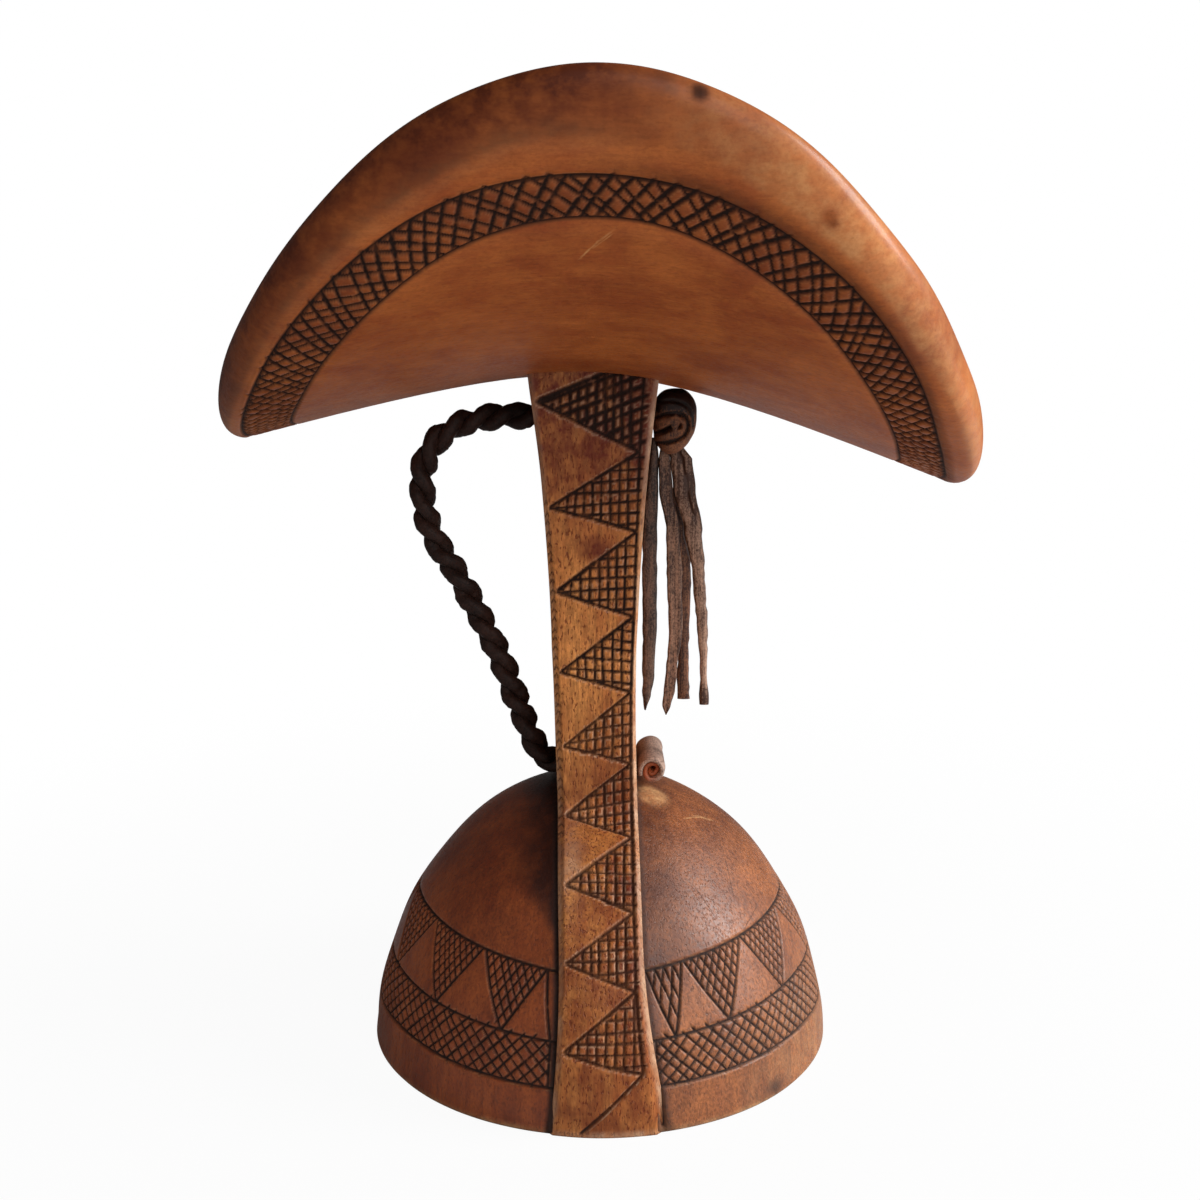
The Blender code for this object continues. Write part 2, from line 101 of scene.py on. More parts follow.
class HeadrestWood(bpy.types.PropertyGroup):
    """Sizes and colours of the carved block."""

    foot_radius: length("Foot Radius", 0.048, "Radius of the domed foot on the ground")
    foot_height: length("Foot Height", 0.0553, "Height of the dome where its two halves meet the stem")
    stem_width: length("Stem Width", 0.0159, "Width of the stem's face at its waist")
    stem_depth: length("Stem Depth", 0.0346, "Depth of the stem, front to back, at its neck")
    pillow_width: length("Pillow Width", 0.1436, "Width of the pillow, left to right")
    pillow_length: length("Pillow Length", 0.1728, "Length of the pillow, front to back")
    pillow_thickness: length("Pillow Thickness", 0.0115, "Thickness of the pillow")
    pillow_rise: length("Pillow Rise", 0.0381, "How far the front and back ends curl up")
    pillow_droop: length("Pillow Droop", 0.0174, "How far the left and right edges hang down")
    cut_depth: length("Cut Depth", 0.00055, "Depth of the carved lines")
    pillow_light: colour("Pillow Light", (180, 99, 46), "Light figure of the pillow's wood")
    pillow_deep: colour("Pillow Deep", (142, 67, 31), "Dark figure of the pillow's wood")
    stem_light: colour("Stem Light", (218, 144, 76), "Light figure of the stem's wood")
    stem_deep: colour("Stem Deep", (174, 99, 48), "Dark figure of the stem's wood")
    # Left half of the foot coloured darker and redder as painted shade
    foot_left_shaded_light: colour("Foot Left Light", (172, 86, 38), "Light figure of the foot's left half")
    foot_left_shaded_deep: colour("Foot Left Deep", (126, 54, 23), "Dark figure of the foot's left half")
    # Right half of the foot coloured lighter and more golden as painted light
    foot_right_lit_light: colour("Foot Right Light", (162, 96, 52), "Light figure of the foot's right half")
    foot_right_lit_deep: colour("Foot Right Deep", (115, 63, 36), "Dark figure of the foot's right half")
    # Dark handling colour of the foot: real darkening and scorch, and painted shade beside the stem and over the left
    # half
    patina_and_shade: colour("Patina_and_shade", (54, 21, 11), "Dark handling stains")
    # Pillow's stain colour: real stains, and painted shade on the left and top of the rim and under the neck
    pillow_stain_and_shade: colour("Pillow Stain", (84, 36, 17), "Red brown stains of the pillow's rim")
    # Stem's stain colour: real stains, and painted shadow under the pillow at the stem's top
    stem_stain_and_shade: colour("Stem Stain", (98, 36, 15), "Red brown stains of the stem")
    # Pillow's pale colour: real rubbing, and painted light on the right of the rim and beside the cuts
    pillow_highlight_and_worn: colour("Pillow Worn", (200, 143, 88), "Pale rubbed rim of the pillow")
    # Stem's pale colour: rubbed edges, and painted highlight beside the cuts
    stem_highlight_and_worn: colour("Stem Worn", (206, 168, 136), "Pale rubbed edges of the stem")
    # Cut colour: grime in the carved lines, and painted shade in creases, bores and the pillow's outer crease
    cut: colour("Cut", (32, 16, 10), "Dirt in the carved lines")
    # Pale colour of the foot: rubbed and torn wood, and painted highlight beside the cuts
    worn_and_highlight: colour("Worn_and_highlight", (194, 148, 100), "Pale rubbed wood")


class HeadrestLeather(bpy.types.PropertyGroup):
    """Sizes and colours of the strap, tassel and toggle."""

    strand_radius: length("Strand Radius", 0.00150, "Radius of each of the strap's two strands")
    lay_radius: length("Lay Radius", 0.00125, "Distance of the strands from the middle of the strap")
    twists: FloatProperty(name="Twists", description="Turns of the strands around each other", default=9.2, min=0.0)
    thong_thickness: length("Thong Thickness", 0.0012, "Thickness of the tassel's thongs")
    knot_width: length("Knot Width", 0.0092, "Width of the wound knot")
    knot_height: length("Knot Height", 0.0126, "Height of the wound knot")
    knot_depth: length("Knot Depth", 0.0084, "Depth of the wound knot, front to back")
    toggle_radius: length("Toggle Radius", 0.0032, "Radius of the rolled toggle")
    toggle_length: length("Toggle Length", 0.0176, "Length of the rolled toggle")
    strap_dark: colour("Strap Dark", (24, 14, 11), "Hollows of the strap")
    strap_light: colour("Strap Light", (58, 34, 26), "Rubbed ridges of the strap")
    brown_dark: colour("Brown Dark", (38, 24, 18), "Dark specks of the left thong")
    brown_light: colour("Brown Light", (116, 88, 73), "Light nap of the left thong")
    dun_dark: colour("Dun Dark", (54, 32, 23), "Dark specks of the middle thong")
    dun_light: colour("Dun Light", (154, 116, 94), "Light nap of the middle thong")
    red_dark: colour("Red Dark", (60, 32, 22), "Dark specks of the thong behind")
    red_light: colour("Red Light", (148, 98, 70), "Light nap of the thong behind")
    suede_dark: colour("Suede Dark", (64, 38, 26), "Dark specks of the right thong")
    suede_light: colour("Suede Light", (170, 134, 112), "Light nap of the right thong")
    # Dark colour of the knot: also the painted shade over its top under the pillow
    knot_dark: colour("Knot Dark", (36, 21, 16), "Polished top of the knot")
    # Light colour of the knot: its nap, left showing on the lower part where less painted shade lies
    knot_light: colour("Knot Light", (146, 92, 60), "Rubbed lower part of the knot")
    toggle_dark: colour("Toggle Dark", (88, 68, 59), "Dark specks of the rolled toggle")
    toggle_skin: colour("Toggle Skin", (180, 150, 133), "Outside of the rolled toggle")
    toggle_core: colour("Toggle Core", (150, 74, 40), "Inside of the rolled toggle")


class HeadrestStage(bpy.types.PropertyGroup):
    """Camera and light."""

    focal_length: FloatProperty(
        name="Focal Length", description="Focal length on a 36 mm sensor", default=45.0, min=1.0
    )
    key_power: power("Key Power", 8.8, "Power of the soft light at the right")
    front_power: power("Front Power", 2.8, "Power of the soft light in front")
    fill_power: power("Fill Power", 0.2, "Power of the soft light at the left")
    sky: FloatProperty(name="Sky", description="Strength of the light from all round", default=0.12, min=0.0)


# Shared making


def wood():
    """The sizes and colours of the carved block in use."""
    return bpy.context.scene.headrest_wood


def leather():
    """The sizes and colours of the leather in use."""
    return bpy.context.scene.headrest_leather


def smooth(edge0, edge1, value):
    """Smooth step from 0 at edge0 to 1 at edge1."""
    t = np.clip((np.asarray(value, float) - edge0) / (edge1 - edge0), 0.0, 1.0)
    return t * t * (3 - 2 * t)


def grid_faces(rows, columns, wrap, first=0):
    """Four-sided faces of a grid whose points are stored row by row."""
    row = np.arange(rows - 1)[:, None]
    column = np.arange(columns if wrap else columns - 1)[None, :]
    a = first + row * columns + column
    b = first + row * columns + (column + 1) % columns
    return np.stack([a, b, b + columns, a + columns], axis=-1).reshape(-1, 4).tolist()


def tube_faces(rows, columns):
    """Faces of a closed tube: its wall and its two end caps."""
    last = (rows - 1) * columns
    return grid_faces(rows, columns, True) + [list(range(columns)), list(range(last, last + columns))]


def surface_normals(points, wrap):
    """Unit normals of a grid of points."""
    if wrap:
        across = np.roll(points, -1, axis=1) - np.roll(points, 1, axis=1)
    else:
        across = np.gradient(points, axis=1)
    normals = np.cross(across, np.gradient(points, axis=0))
    return normals / (np.linalg.norm(normals, axis=2, keepdims=True) + 1e-15)


def add_piece(name, points, faces, material, marks=None, crease=None):
    """A smooth mesh object with its faces turned outward and marks as point attributes."""
    mesh = bpy.data.meshes.new(name)
    mesh.from_pydata(np.asarray(points).tolist(), [], faces)
    shell = bmesh.new()
    shell.from_mesh(mesh)
    bmesh.ops.recalc_face_normals(shell, faces=shell.faces)
    shell.to_mesh(mesh)
    shell.free()
    for key, values in (marks or {}).items():
        layer = mesh.attributes.new(key, "FLOAT", "POINT")
        layer.data.foreach_set("value", np.asarray(values, np.float32).ravel())
    mesh.materials.append(material)
    mesh.shade_smooth()
    if crease is not None:
        mesh.set_sharp_from_angle(angle=crease)
    obj = bpy.data.objects.new(name, mesh)
    bpy.context.scene.collection.objects.link(obj)
    return obj


class Carving:
    """Knife cuts over a surface laid out flat, in metres across and along."""

    def __init__(self, across, along):
        self.across, self.along = np.broadcast_arrays(across, along)
        self.depth = np.zeros(self.across.shape)
        self.dark = np.zeros(self.across.shape)
        self.rub_and_highlight = np.zeros(self.across.shape)

    def mark(self, where, distance, width, depth, fade):
        """Deepen the points near a line and darken its bottom."""
        profile = np.clip(1.0 - 2.0 * distance / width, 0.0, 1.0) * fade
        self.depth[where] = np.maximum(self.depth[where], depth * profile)
        self.dark[where] = np.maximum(self.dark[where], np.clip(1.7 * profile - 0.16, 0.0, 1.0))
        # Pale edge of each cut: partly rubbing, partly painted highlight on the lit wall of the cut
        rub_and_highlight = np.exp(-(((profile - 0.16) / 0.14) ** 2)) * (profile > 0)
        self.rub_and_highlight[where] = np.maximum(self.rub_and_highlight[where], rub_and_highlight)

    def rubbed(self):
        """How far the wood beside the cuts is painted pale: rubbing, and painted highlight on the lit walls of the
        cuts.
        """
        return self.rub_and_highlight * (1 - self.dark)

    def stroke(self, start, end, width, depth):
        """One straight cut that thins out at its ends."""
        (x0, y0), (x1, y1) = start, end
        dx, dy = x1 - x0, y1 - y0
        reach = math.hypot(dx, dy)
        if reach < 1e-5:
            return
        where = np.nonzero(
            (self.across > min(x0, x1) - width)
            & (self.across < max(x0, x1) + width)
            & (self.along > min(y0, y1) - width)
            & (self.along < max(y0, y1) + width)
        )
        px, py = self.across[where] - x0, self.along[where] - y0
        t = np.clip((px * dx + py * dy) / reach**2, 0.0, 1.0)
        distance = np.hypot(px - t * dx, py - t * dy)
        fade = np.clip(np.minimum(t, 1 - t) * reach / width + 0.55, 0.0, 1.0)
        self.mark(where, distance, width, depth, fade)

    def bent(self, rng, start, end, width, depth, bow=0.00012):
        """A cut made by hand, bowed a little and uneven in width."""
        middle = [(a + b) / 2 + rng.normal(0, bow) for a, b in zip(start, end)]
        for a, b in ((start, middle), (middle, end)):
            self.stroke(a, b, width * rng.uniform(0.82, 1.15), depth * rng.uniform(0.8, 1.1))

    def ring(self, line, width, depth):
        """A cut that follows a line given along every column."""
        distance = np.abs(self.along - line)
        self.mark(np.nonzero(distance < width), distance[distance < width], width, depth, 1.0)


def catmull(points, steps):
    """A smooth line through points."""
    p = np.array(points, float)
    p = np.vstack([2 * p[0] - p[1], p, 2 * p[-1] - p[-2]])
    t = np.linspace(0, 1, steps, endpoint=False)[:, None]
    out = []
    for a, b, c, d in zip(p[:-3], p[1:-2], p[2:-1], p[3:]):
        out.append(0.5 * (2 * b + (c - a) * t + (2 * a - 5 * b + 4 * c - d) * t**2 + (3 * b - a - 3 * c + d) * t**3))
    return np.vstack(out + [p[-2:-1]])


# Forms of the carved block


def foot_reach(z):
    """Radius of the domed foot at a height."""
    w = wood()
    level = np.clip(z, 0, w.foot_height) / w.foot_height
    return w.foot_radius * np.maximum(1.0 - level**1.76, 0.0) ** (1 / 2.11)


def stem_edges(z):
    """Left and right face of the stem at a height."""
    z = np.asarray(z, float)
    top = np.maximum(z - 0.072, 0.0) / (UNDERSIDE_HEIGHT - 0.072)
    toe = np.maximum(0.0336 - z, 0.0) / 0.0336
    flare = smooth(0.118, 0.138, z)
    waist = smooth(0.060, 0.088, z) * smooth(0.134, 0.114, z)
    half = (wood().stem_width + 0.0077 * top**1.87 + 0.0058 * toe**2 + 0.0007 * flare) / 2
    middle = 0.0012 - 0.0027 * np.minimum(1.6 * z / UNDERSIDE_HEIGHT, 1.0)
    middle = middle + 0.0005 * smooth(0.06, 0.095, z) - 0.0002 * flare
    return middle - half - 0.0002 * waist, middle + half + 0.0011 * smooth(0.035, 0.0, z)


def stem_half_depth(z):
    """Half the stem's depth, front to back, at a height."""
    z = np.asarray(z, float)
    depth = wood().stem_depth
    neck = depth / 2 + 0.0043 * (np.maximum(z - 0.084, 0.0) / (UNDERSIDE_HEIGHT - 0.084)) ** 2
    toe = foot_reach(z) + 0.0016 * np.minimum(z / 0.014, 1.0)
    return (neck + toe + np.sqrt((neck - toe) ** 2 + (depth / 8) ** 2)) / 2


def pillow_underside(x, y):
    """Height of the pillow's underside over a plan point."""
    w = wood()
    droop = (np.hypot(PILLOW_RIDGE, x) - PILLOW_RIDGE) / (np.hypot(PILLOW_RIDGE, w.pillow_width / 2) - PILLOW_RIDGE)
    rise = w.pillow_rise * np.abs(2 * y / w.pillow_length) ** 2.41
    return UNDERSIDE_HEIGHT + rise - w.pillow_droop * droop - math.tan(PILLOW_TILT) * x


def pillow_plan(share, angle):
    """Plan place at a share of the pillow's outline and a plan angle, before the pillow is turned."""
    w = wood()
    c, s = np.cos(angle), np.sin(angle)
    n = PILLOW_ROUNDNESS
    reach = ((np.abs(c) / (w.pillow_width / 2)) ** n + (np.abs(s) / (w.pillow_length / 2)) ** n) ** (-1 / n)
    return share * reach * c, share * reach * s


def pillow_points(share, angle, lift):
    """Points of the pillow at a share of its plan outline, a plan angle and a lift above its underside."""
    w = wood()
    x, y = pillow_plan(share, angle)
    z = pillow_underside(x, y) + lift * (1 + PILLOW_THICKENING * x / w.pillow_width)
    c, s = math.cos(PILLOW_TURN), math.sin(PILLOW_TURN)
    return np.stack([x * c - y * s, x * s + y * c, z], axis=-1)


# Node trees


class Graph:
    """Short ways to write a node tree."""

    def __init__(self, tree):
        self.tree = tree

    def node(self, kind, inputs=None, **settings):
        """A new node with its settings and inputs."""
        made = self.tree.nodes.new(kind)
        for key, value in settings.items():
            setattr(made, key, value)
        for key, value in (inputs or {}).items():
            self.feed(made.inputs[key], value)
        return made

    def feed(self, socket, value):
        """Link an output to a socket, or set the socket's value."""
        if isinstance(value, bpy.types.NodeSocket):
            self.tree.links.new(value, socket)
        else:
            socket.default_value = value

    def maths(self, operation, a, b=0.0, clamp=False):
        return self.node("ShaderNodeMath", {0: a, 1: b}, operation=operation, use_clamp=clamp).outputs[0]

    def plus(self, a, b, clamp=False):
        return self.maths("ADD", a, b, clamp)

    def minus(self, a, b, clamp=False):
        return self.maths("SUBTRACT", a, b, clamp)

    def times(self, a, b, clamp=False):
        return self.maths("MULTIPLY", a, b, clamp)

    def mix(self, factor, a, b, blend="MIX"):
        """A blend of two colours."""
        made = self.node("ShaderNodeMix", data_type="RGBA", blend_type=blend)
        self.feed(made.inputs[0], factor)
        self.feed(made.inputs[6], a)
        self.feed(made.inputs[7], b)
        return made.outputs[2]

    def grey(self, tone):
        """A colour with one tone in its three parts."""
        return self.node("ShaderNodeCombineColor", {0: tone, 1: tone, 2: tone}).outputs[0]

    def ramp(self, value, low, high, to_low=0.0, to_high=1.0):
        """A smooth step from one value to another."""
        inputs = {0: value, 1: low, 2: high, 3: to_low, 4: to_high}
        return self.node("ShaderNodeMapRange", inputs, interpolation_type="SMOOTHSTEP").outputs[0]

    def vector(self, operation, a, b=None, output=0):
        made = self.node("ShaderNodeVectorMath", operation=operation)
        self.feed(made.inputs[0], a)
        if b is not None:
            self.feed(made.inputs["Scale" if operation == "SCALE" else 1], b)
        return made.outputs[output]

    def attribute(self, name):
        """A mark kept on the points of the mesh."""
        return self.node("ShaderNodeAttribute", attribute_name=name).outputs["Fac"]

    def scratch(self, place, start, end, width, hub):
        """A thin mark where a slice through two points and a hub meets the surface."""
        run = np.subtract(end, start)
        across = np.cross(run, np.subtract(start, hub))
        across = tuple(float(v) for v in across / np.linalg.norm(across))
        half = float(np.linalg.norm(run)) / 2
        offset = self.vector("SUBTRACT", place, tuple((a + b) / 2 for a, b in zip(start, end)))
        wobble = self.times(self.minus(self.noise(place, (420, 420, 420)), 0.5), 1.5 * width)
        away = self.maths("ABSOLUTE", self.plus(self.vector("DOT_PRODUCT", offset, across, "Value"), wobble))
        reach = self.vector("LENGTH", offset, None, "Value")
        return self.times(self.ramp(away, width / 2, width / 6), self.ramp(reach, half, half * 0.4, 0.0, 0.55))

    def noise(self, place, stretch, detail=2.0, roughness=0.55, distortion=0.0):
        """Noise with its own scale along each axis."""
        scaled = self.node("ShaderNodeVectorMath", {0: place, 1: stretch}, operation="MULTIPLY").outputs[0]
        inputs = {"Vector": scaled, "Scale": 1.0, "Detail": detail, "Roughness": roughness, "Distortion": distortion}
        return self.node("ShaderNodeTexNoise", inputs).outputs[0]

    def surface(self, shader):
        """The output of a material."""
        self.node("ShaderNodeOutputMaterial", {"Surface": shader.outputs[0]}, is_active_output=True)


def new_group(name, inputs):
    """An empty shader node group with what it takes and the look it gives."""
    tree = bpy.data.node_groups.new(name, "ShaderNodeTree")
    for key, kind in inputs:
        tree.interface.new_socket(key, in_out="INPUT", socket_type="NodeSocket" + kind)
    for key, kind in (("Color", "Color"), ("Roughness", "Float"), ("Height", "Float")):
        tree.interface.new_socket(key, in_out="OUTPUT", socket_type="NodeSocket" + kind)
    return tree, tree.nodes.new("NodeGroupInput").outputs, tree.nodes.new("NodeGroupOutput").inputs


def wood_group():
    """Wood with figure, pores, stains and painted shade, rubbed places and painted highlights, and dirty cuts with
    painted shade in creases and hollows.
    """
    name = "Carved Wood"
    if name in bpy.data.node_groups:
        return bpy.data.node_groups[name]
    colours = ("Light", "Deep", "Patina_and_shade", "Cut", "Worn_and_highlight")
    values = ("Groove", "Stain_and_shade", "Wear_and_highlight", "Pores", "Fibre", "Cracks", "Mottle", "Blotch", "Grain")
    inputs = [("Place", "Vector")] + [(key, "Color") for key in colours] + [(key, "Float") for key in values]
    tree, take, give = new_group(name, inputs)
    g = Graph(tree)
    place = take["Place"]
    broad = g.noise(place, (70, 70, 16), 4.0, 0.6, 0.6)
    streak = g.noise(place, (520, 520, 34), 3.0, 0.6)
    fibre = g.noise(place, (1700, 1700, 260), 2.0, 0.6)
    pore = g.noise(place, (2500, 2500, 900), 1.0, 0.5)
    mottle = g.noise(place, (75, 75, 60), 5.0, 0.62, 0.5)
    dapple = g.noise(place, (330, 330, 260), 3.0, 0.6)
    speck = g.noise(place, (1900, 1900, 1500), 2.0, 0.6)
    blot = g.ramp(g.noise(place, (150, 150, 125), 4.0, 0.6, 0.7), 0.45, 0.60)

    # Figure and pores
    streaky = g.plus(g.times(broad, 0.55), g.times(streak, 0.45))
    cloudy = g.plus(g.times(mottle, 0.7), g.times(dapple, 0.3))
    figure = g.plus(streaky, g.times(g.minus(cloudy, streaky), take["Mottle"]))
    shade = g.mix(g.ramp(figure, 0.36, 0.64), take["Light"], take["Deep"])
    tone = g.plus(g.times(g.ramp(fibre, 0.3, 0.7, -0.30, 0.20), take["Fibre"]), g.ramp(dapple, 0.3, 0.7, 0.94, 1.06))
    tone = g.plus(tone, g.times(g.ramp(speck, 0.32, 0.68, -0.5, 0.4), take["Grain"]))
    shade = g.mix(1.0, shade, g.grey(tone), "MULTIPLY")
    pores = g.times(g.ramp(pore, 0.57, 0.68), take["Pores"], True)
    shade = g.mix(g.times(pores, 0.72), shade, take["Patina_and_shade"])

    # Fine cracks
    vein = g.maths("ABSOLUTE", g.minus(g.noise(place, (62, 62, 24), 4.0, 0.6, 1.2), 0.5))
    dry = g.times(g.ramp(mottle, 0.44, 0.56), take["Cracks"])
    crack = g.times(g.ramp(vein, 0.0045, 0.0015), dry, True)
    shade = g.mix(g.times(crack, 0.7), shade, take["Cut"])

    # Stains and painted shade, rubbed places and painted highlights, and dirty cuts with painted shade in creases and
    # hollows
    patch = g.plus(g.times(g.ramp(mottle, 0.38, 0.64), 0.4), g.times(g.ramp(dapple, 0.36, 0.64), 0.6))
    patch = g.plus(patch, g.times(blot, 0.25))
    patch = g.plus(patch, g.ramp(speck, 0.34, 0.66, -0.10, 0.10))
    patch = g.plus(g.times(g.minus(patch, 0.60), take["Blotch"]), 0.95)
    # Real stains and painted shade, darkened towards their colour
    shade = g.mix(g.times(take["Stain_and_shade"], patch, True), shade, take["Patina_and_shade"])
    spared = g.minus(1.2, g.times(blot, g.times(take["Blotch"], 0.6)))
    uneven = g.times(g.ramp(speck, 0.32, 0.62, 0.74, 1.0), g.ramp(dapple, 0.36, 0.64, 0.42, 1.20))
    # Rubbed places: real rubbing and painted highlight, paled towards their colour
    rubbed = g.times(g.times(take["Wear_and_highlight"], spared), uneven, True)
    shade = g.mix(rubbed, shade, take["Worn_and_highlight"])
    # Dark cuts: grime in the carved lines, and painted shade in creases and bores
    dirt_and_shade = g.times(take["Groove"], g.ramp(dapple, 0.2, 0.5, 0.82, 1.0), True)
    g.feed(give["Color"], g.mix(dirt_and_shade, shade, take["Cut"]))

    rough = g.ramp(speck, 0.3, 0.7, 0.40, 0.54)
    rough = g.plus(rough, g.times(dirt_and_shade, 0.45))
    rough = g.plus(rough, g.times(pores, 0.2))
    g.feed(give["Roughness"], g.plus(rough, g.times(rubbed, 0.12), True))
    height = g.minus(g.times(g.times(fibre, take["Fibre"]), 0.5), g.plus(pores, crack))
    height = g.plus(height, g.times(dapple, 0.8))
    g.feed(give["Height"], g.plus(height, g.times(speck, 0.35)))
    return tree


def leather_group():
    """Leather with dark hollows, rubbed nap and fine specks."""
    name = "Rubbed Leather"
    if name in bpy.data.node_groups:
        return bpy.data.node_groups[name]
    inputs = [(key, "Color") for key in ("Dark", "Light")] + [(key, "Float") for key in ("Shade", "Speckle", "Streak")]
    tree, take, give = new_group(name, inputs)
    g = Graph(tree)
    place = g.node("ShaderNodeTexCoord").outputs["Object"]
    cloud = g.noise(place, (260, 260, 190), 4.0, 0.6)
    grain = g.noise(place, (2900, 2900, 1900), 3.0, 0.65)
    streak = g.noise(place, (2200, 2200, 110), 2.0, 0.6)
    fine = g.noise(place, (4200, 4200, 3600), 2.0, 0.6)
    spots = g.times(g.ramp(grain, 0.36, 0.64), take["Speckle"])
    nap = g.plus(g.times(g.ramp(cloud, 0.3, 0.7), 0.45), g.times(spots, 0.8))
    nap = g.plus(nap, g.ramp(fine, 0.3, 0.7, -0.12, 0.12))
    nap = g.plus(nap, g.times(g.ramp(streak, 0.3, 0.7, -0.3, 0.3), take["Streak"]))
    nap = g.minus(nap, take["Shade"], True)
    g.feed(give["Color"], g.mix(nap, take["Dark"], take["Light"]))
    g.feed(give["Roughness"], g.ramp(nap, 0.0, 1.0, 0.5, 0.85))
    g.feed(give["Height"], g.plus(g.times(grain, 0.8), g.times(fine, 0.4)))
    return tree


def rgba(value):
    """A colour with full cover."""
    return (*value, 1.0)


def new_material(name):
    """An empty material and its node tree."""
    material = bpy.data.materials.new(name)
    material.use_nodes = True
    material.node_tree.nodes.clear()
    return material, Graph(material.node_tree)


def wood_material(
    name, light, deep, hub, traits, grain="Z", gloss=0.3, bump=0.35, coat=0.0, polish=0.0,
    stain_and_shade=None, worn_and_highlight=None, scratches=(), splits=(),
):
    """A wood of the carved block, reading the marks of its mesh."""
    w = wood()
    material, g = new_material(name)
    spot = g.node("ShaderNodeTexCoord").outputs["Object"]
    place = spot
    if grain == "X":
        axes = g.node("ShaderNodeSeparateXYZ", {0: spot}).outputs
        place = g.node("ShaderNodeCombineXYZ", {0: axes[2], 1: axes[1], 2: axes[0]}).outputs[0]
    look = g.node("ShaderNodeGroup", node_tree=wood_group())
    g.feed(look.inputs["Place"], place)
    shades = {"Light": light, "Deep": deep, "Patina_and_shade": stain_and_shade or w.patina_and_shade, "Cut": w.cut, "Worn_and_highlight": worn_and_highlight or w.worn_and_highlight}
    for key, value in shades.items():
        look.inputs[key].default_value = rgba(value)
    for key in ("Groove", "Stain_and_shade", "Wear_and_highlight"):
        mark = g.attribute(key.lower())
        for start, end, width in {"Wear_and_highlight": scratches, "Groove": splits}.get(key, ()):
            mark = g.maths("MAXIMUM", mark, g.scratch(spot, start, end, width, hub))
        g.feed(look.inputs[key], mark)
    for key, value in traits.items():
        look.inputs[key].default_value = value
    raised = g.node("ShaderNodeBump", {"Height": look.outputs["Height"], "Strength": bump, "Distance": 0.00012})
    shader = g.node("ShaderNodeBsdfPrincipled", {
        "Base Color": look.outputs["Color"], "Roughness": look.outputs["Roughness"], "Normal": raised.outputs[0],
        "Specular IOR Level": gloss, "Coat Weight": coat, "Coat Roughness": 0.22,
    })
    if polish:
        g.feed(shader.inputs["Coat Weight"], g.plus(g.times(g.attribute("wear_and_highlight"), polish), coat, True))
    g.surface(shader)
    return material


def leather_material(name, dark, light, speckle, streak=0.0, shade=None, core=None, rough=None, gloss=0.35):
    """A leather; a shade attribute darkens it and a core attribute turns it to another colour."""
    material, g = new_material(name)
    look = g.node("ShaderNodeGroup", node_tree=leather_group())
    settings = {"Dark": rgba(dark), "Light": rgba(light), "Speckle": speckle, "Streak": streak, "Shade": 0.0}
    for key, value in settings.items():
        look.inputs[key].default_value = value
    if shade:
        g.feed(look.inputs["Shade"], g.attribute(shade))
    base = look.outputs["Color"]
    if core:
        base = g.mix(g.attribute(core[0]), base, rgba(core[1]))
    raised = g.node("ShaderNodeBump", {"Height": look.outputs["Height"], "Strength": 0.5, "Distance": 0.00015})
    shader = g.node("ShaderNodeBsdfPrincipled", {
        "Base Color": base, "Normal": raised.outputs[0], "Specular IOR Level": gloss,
        "Roughness": look.outputs["Roughness"] if rough is None else rough,
    })
    g.surface(shader)
    return material


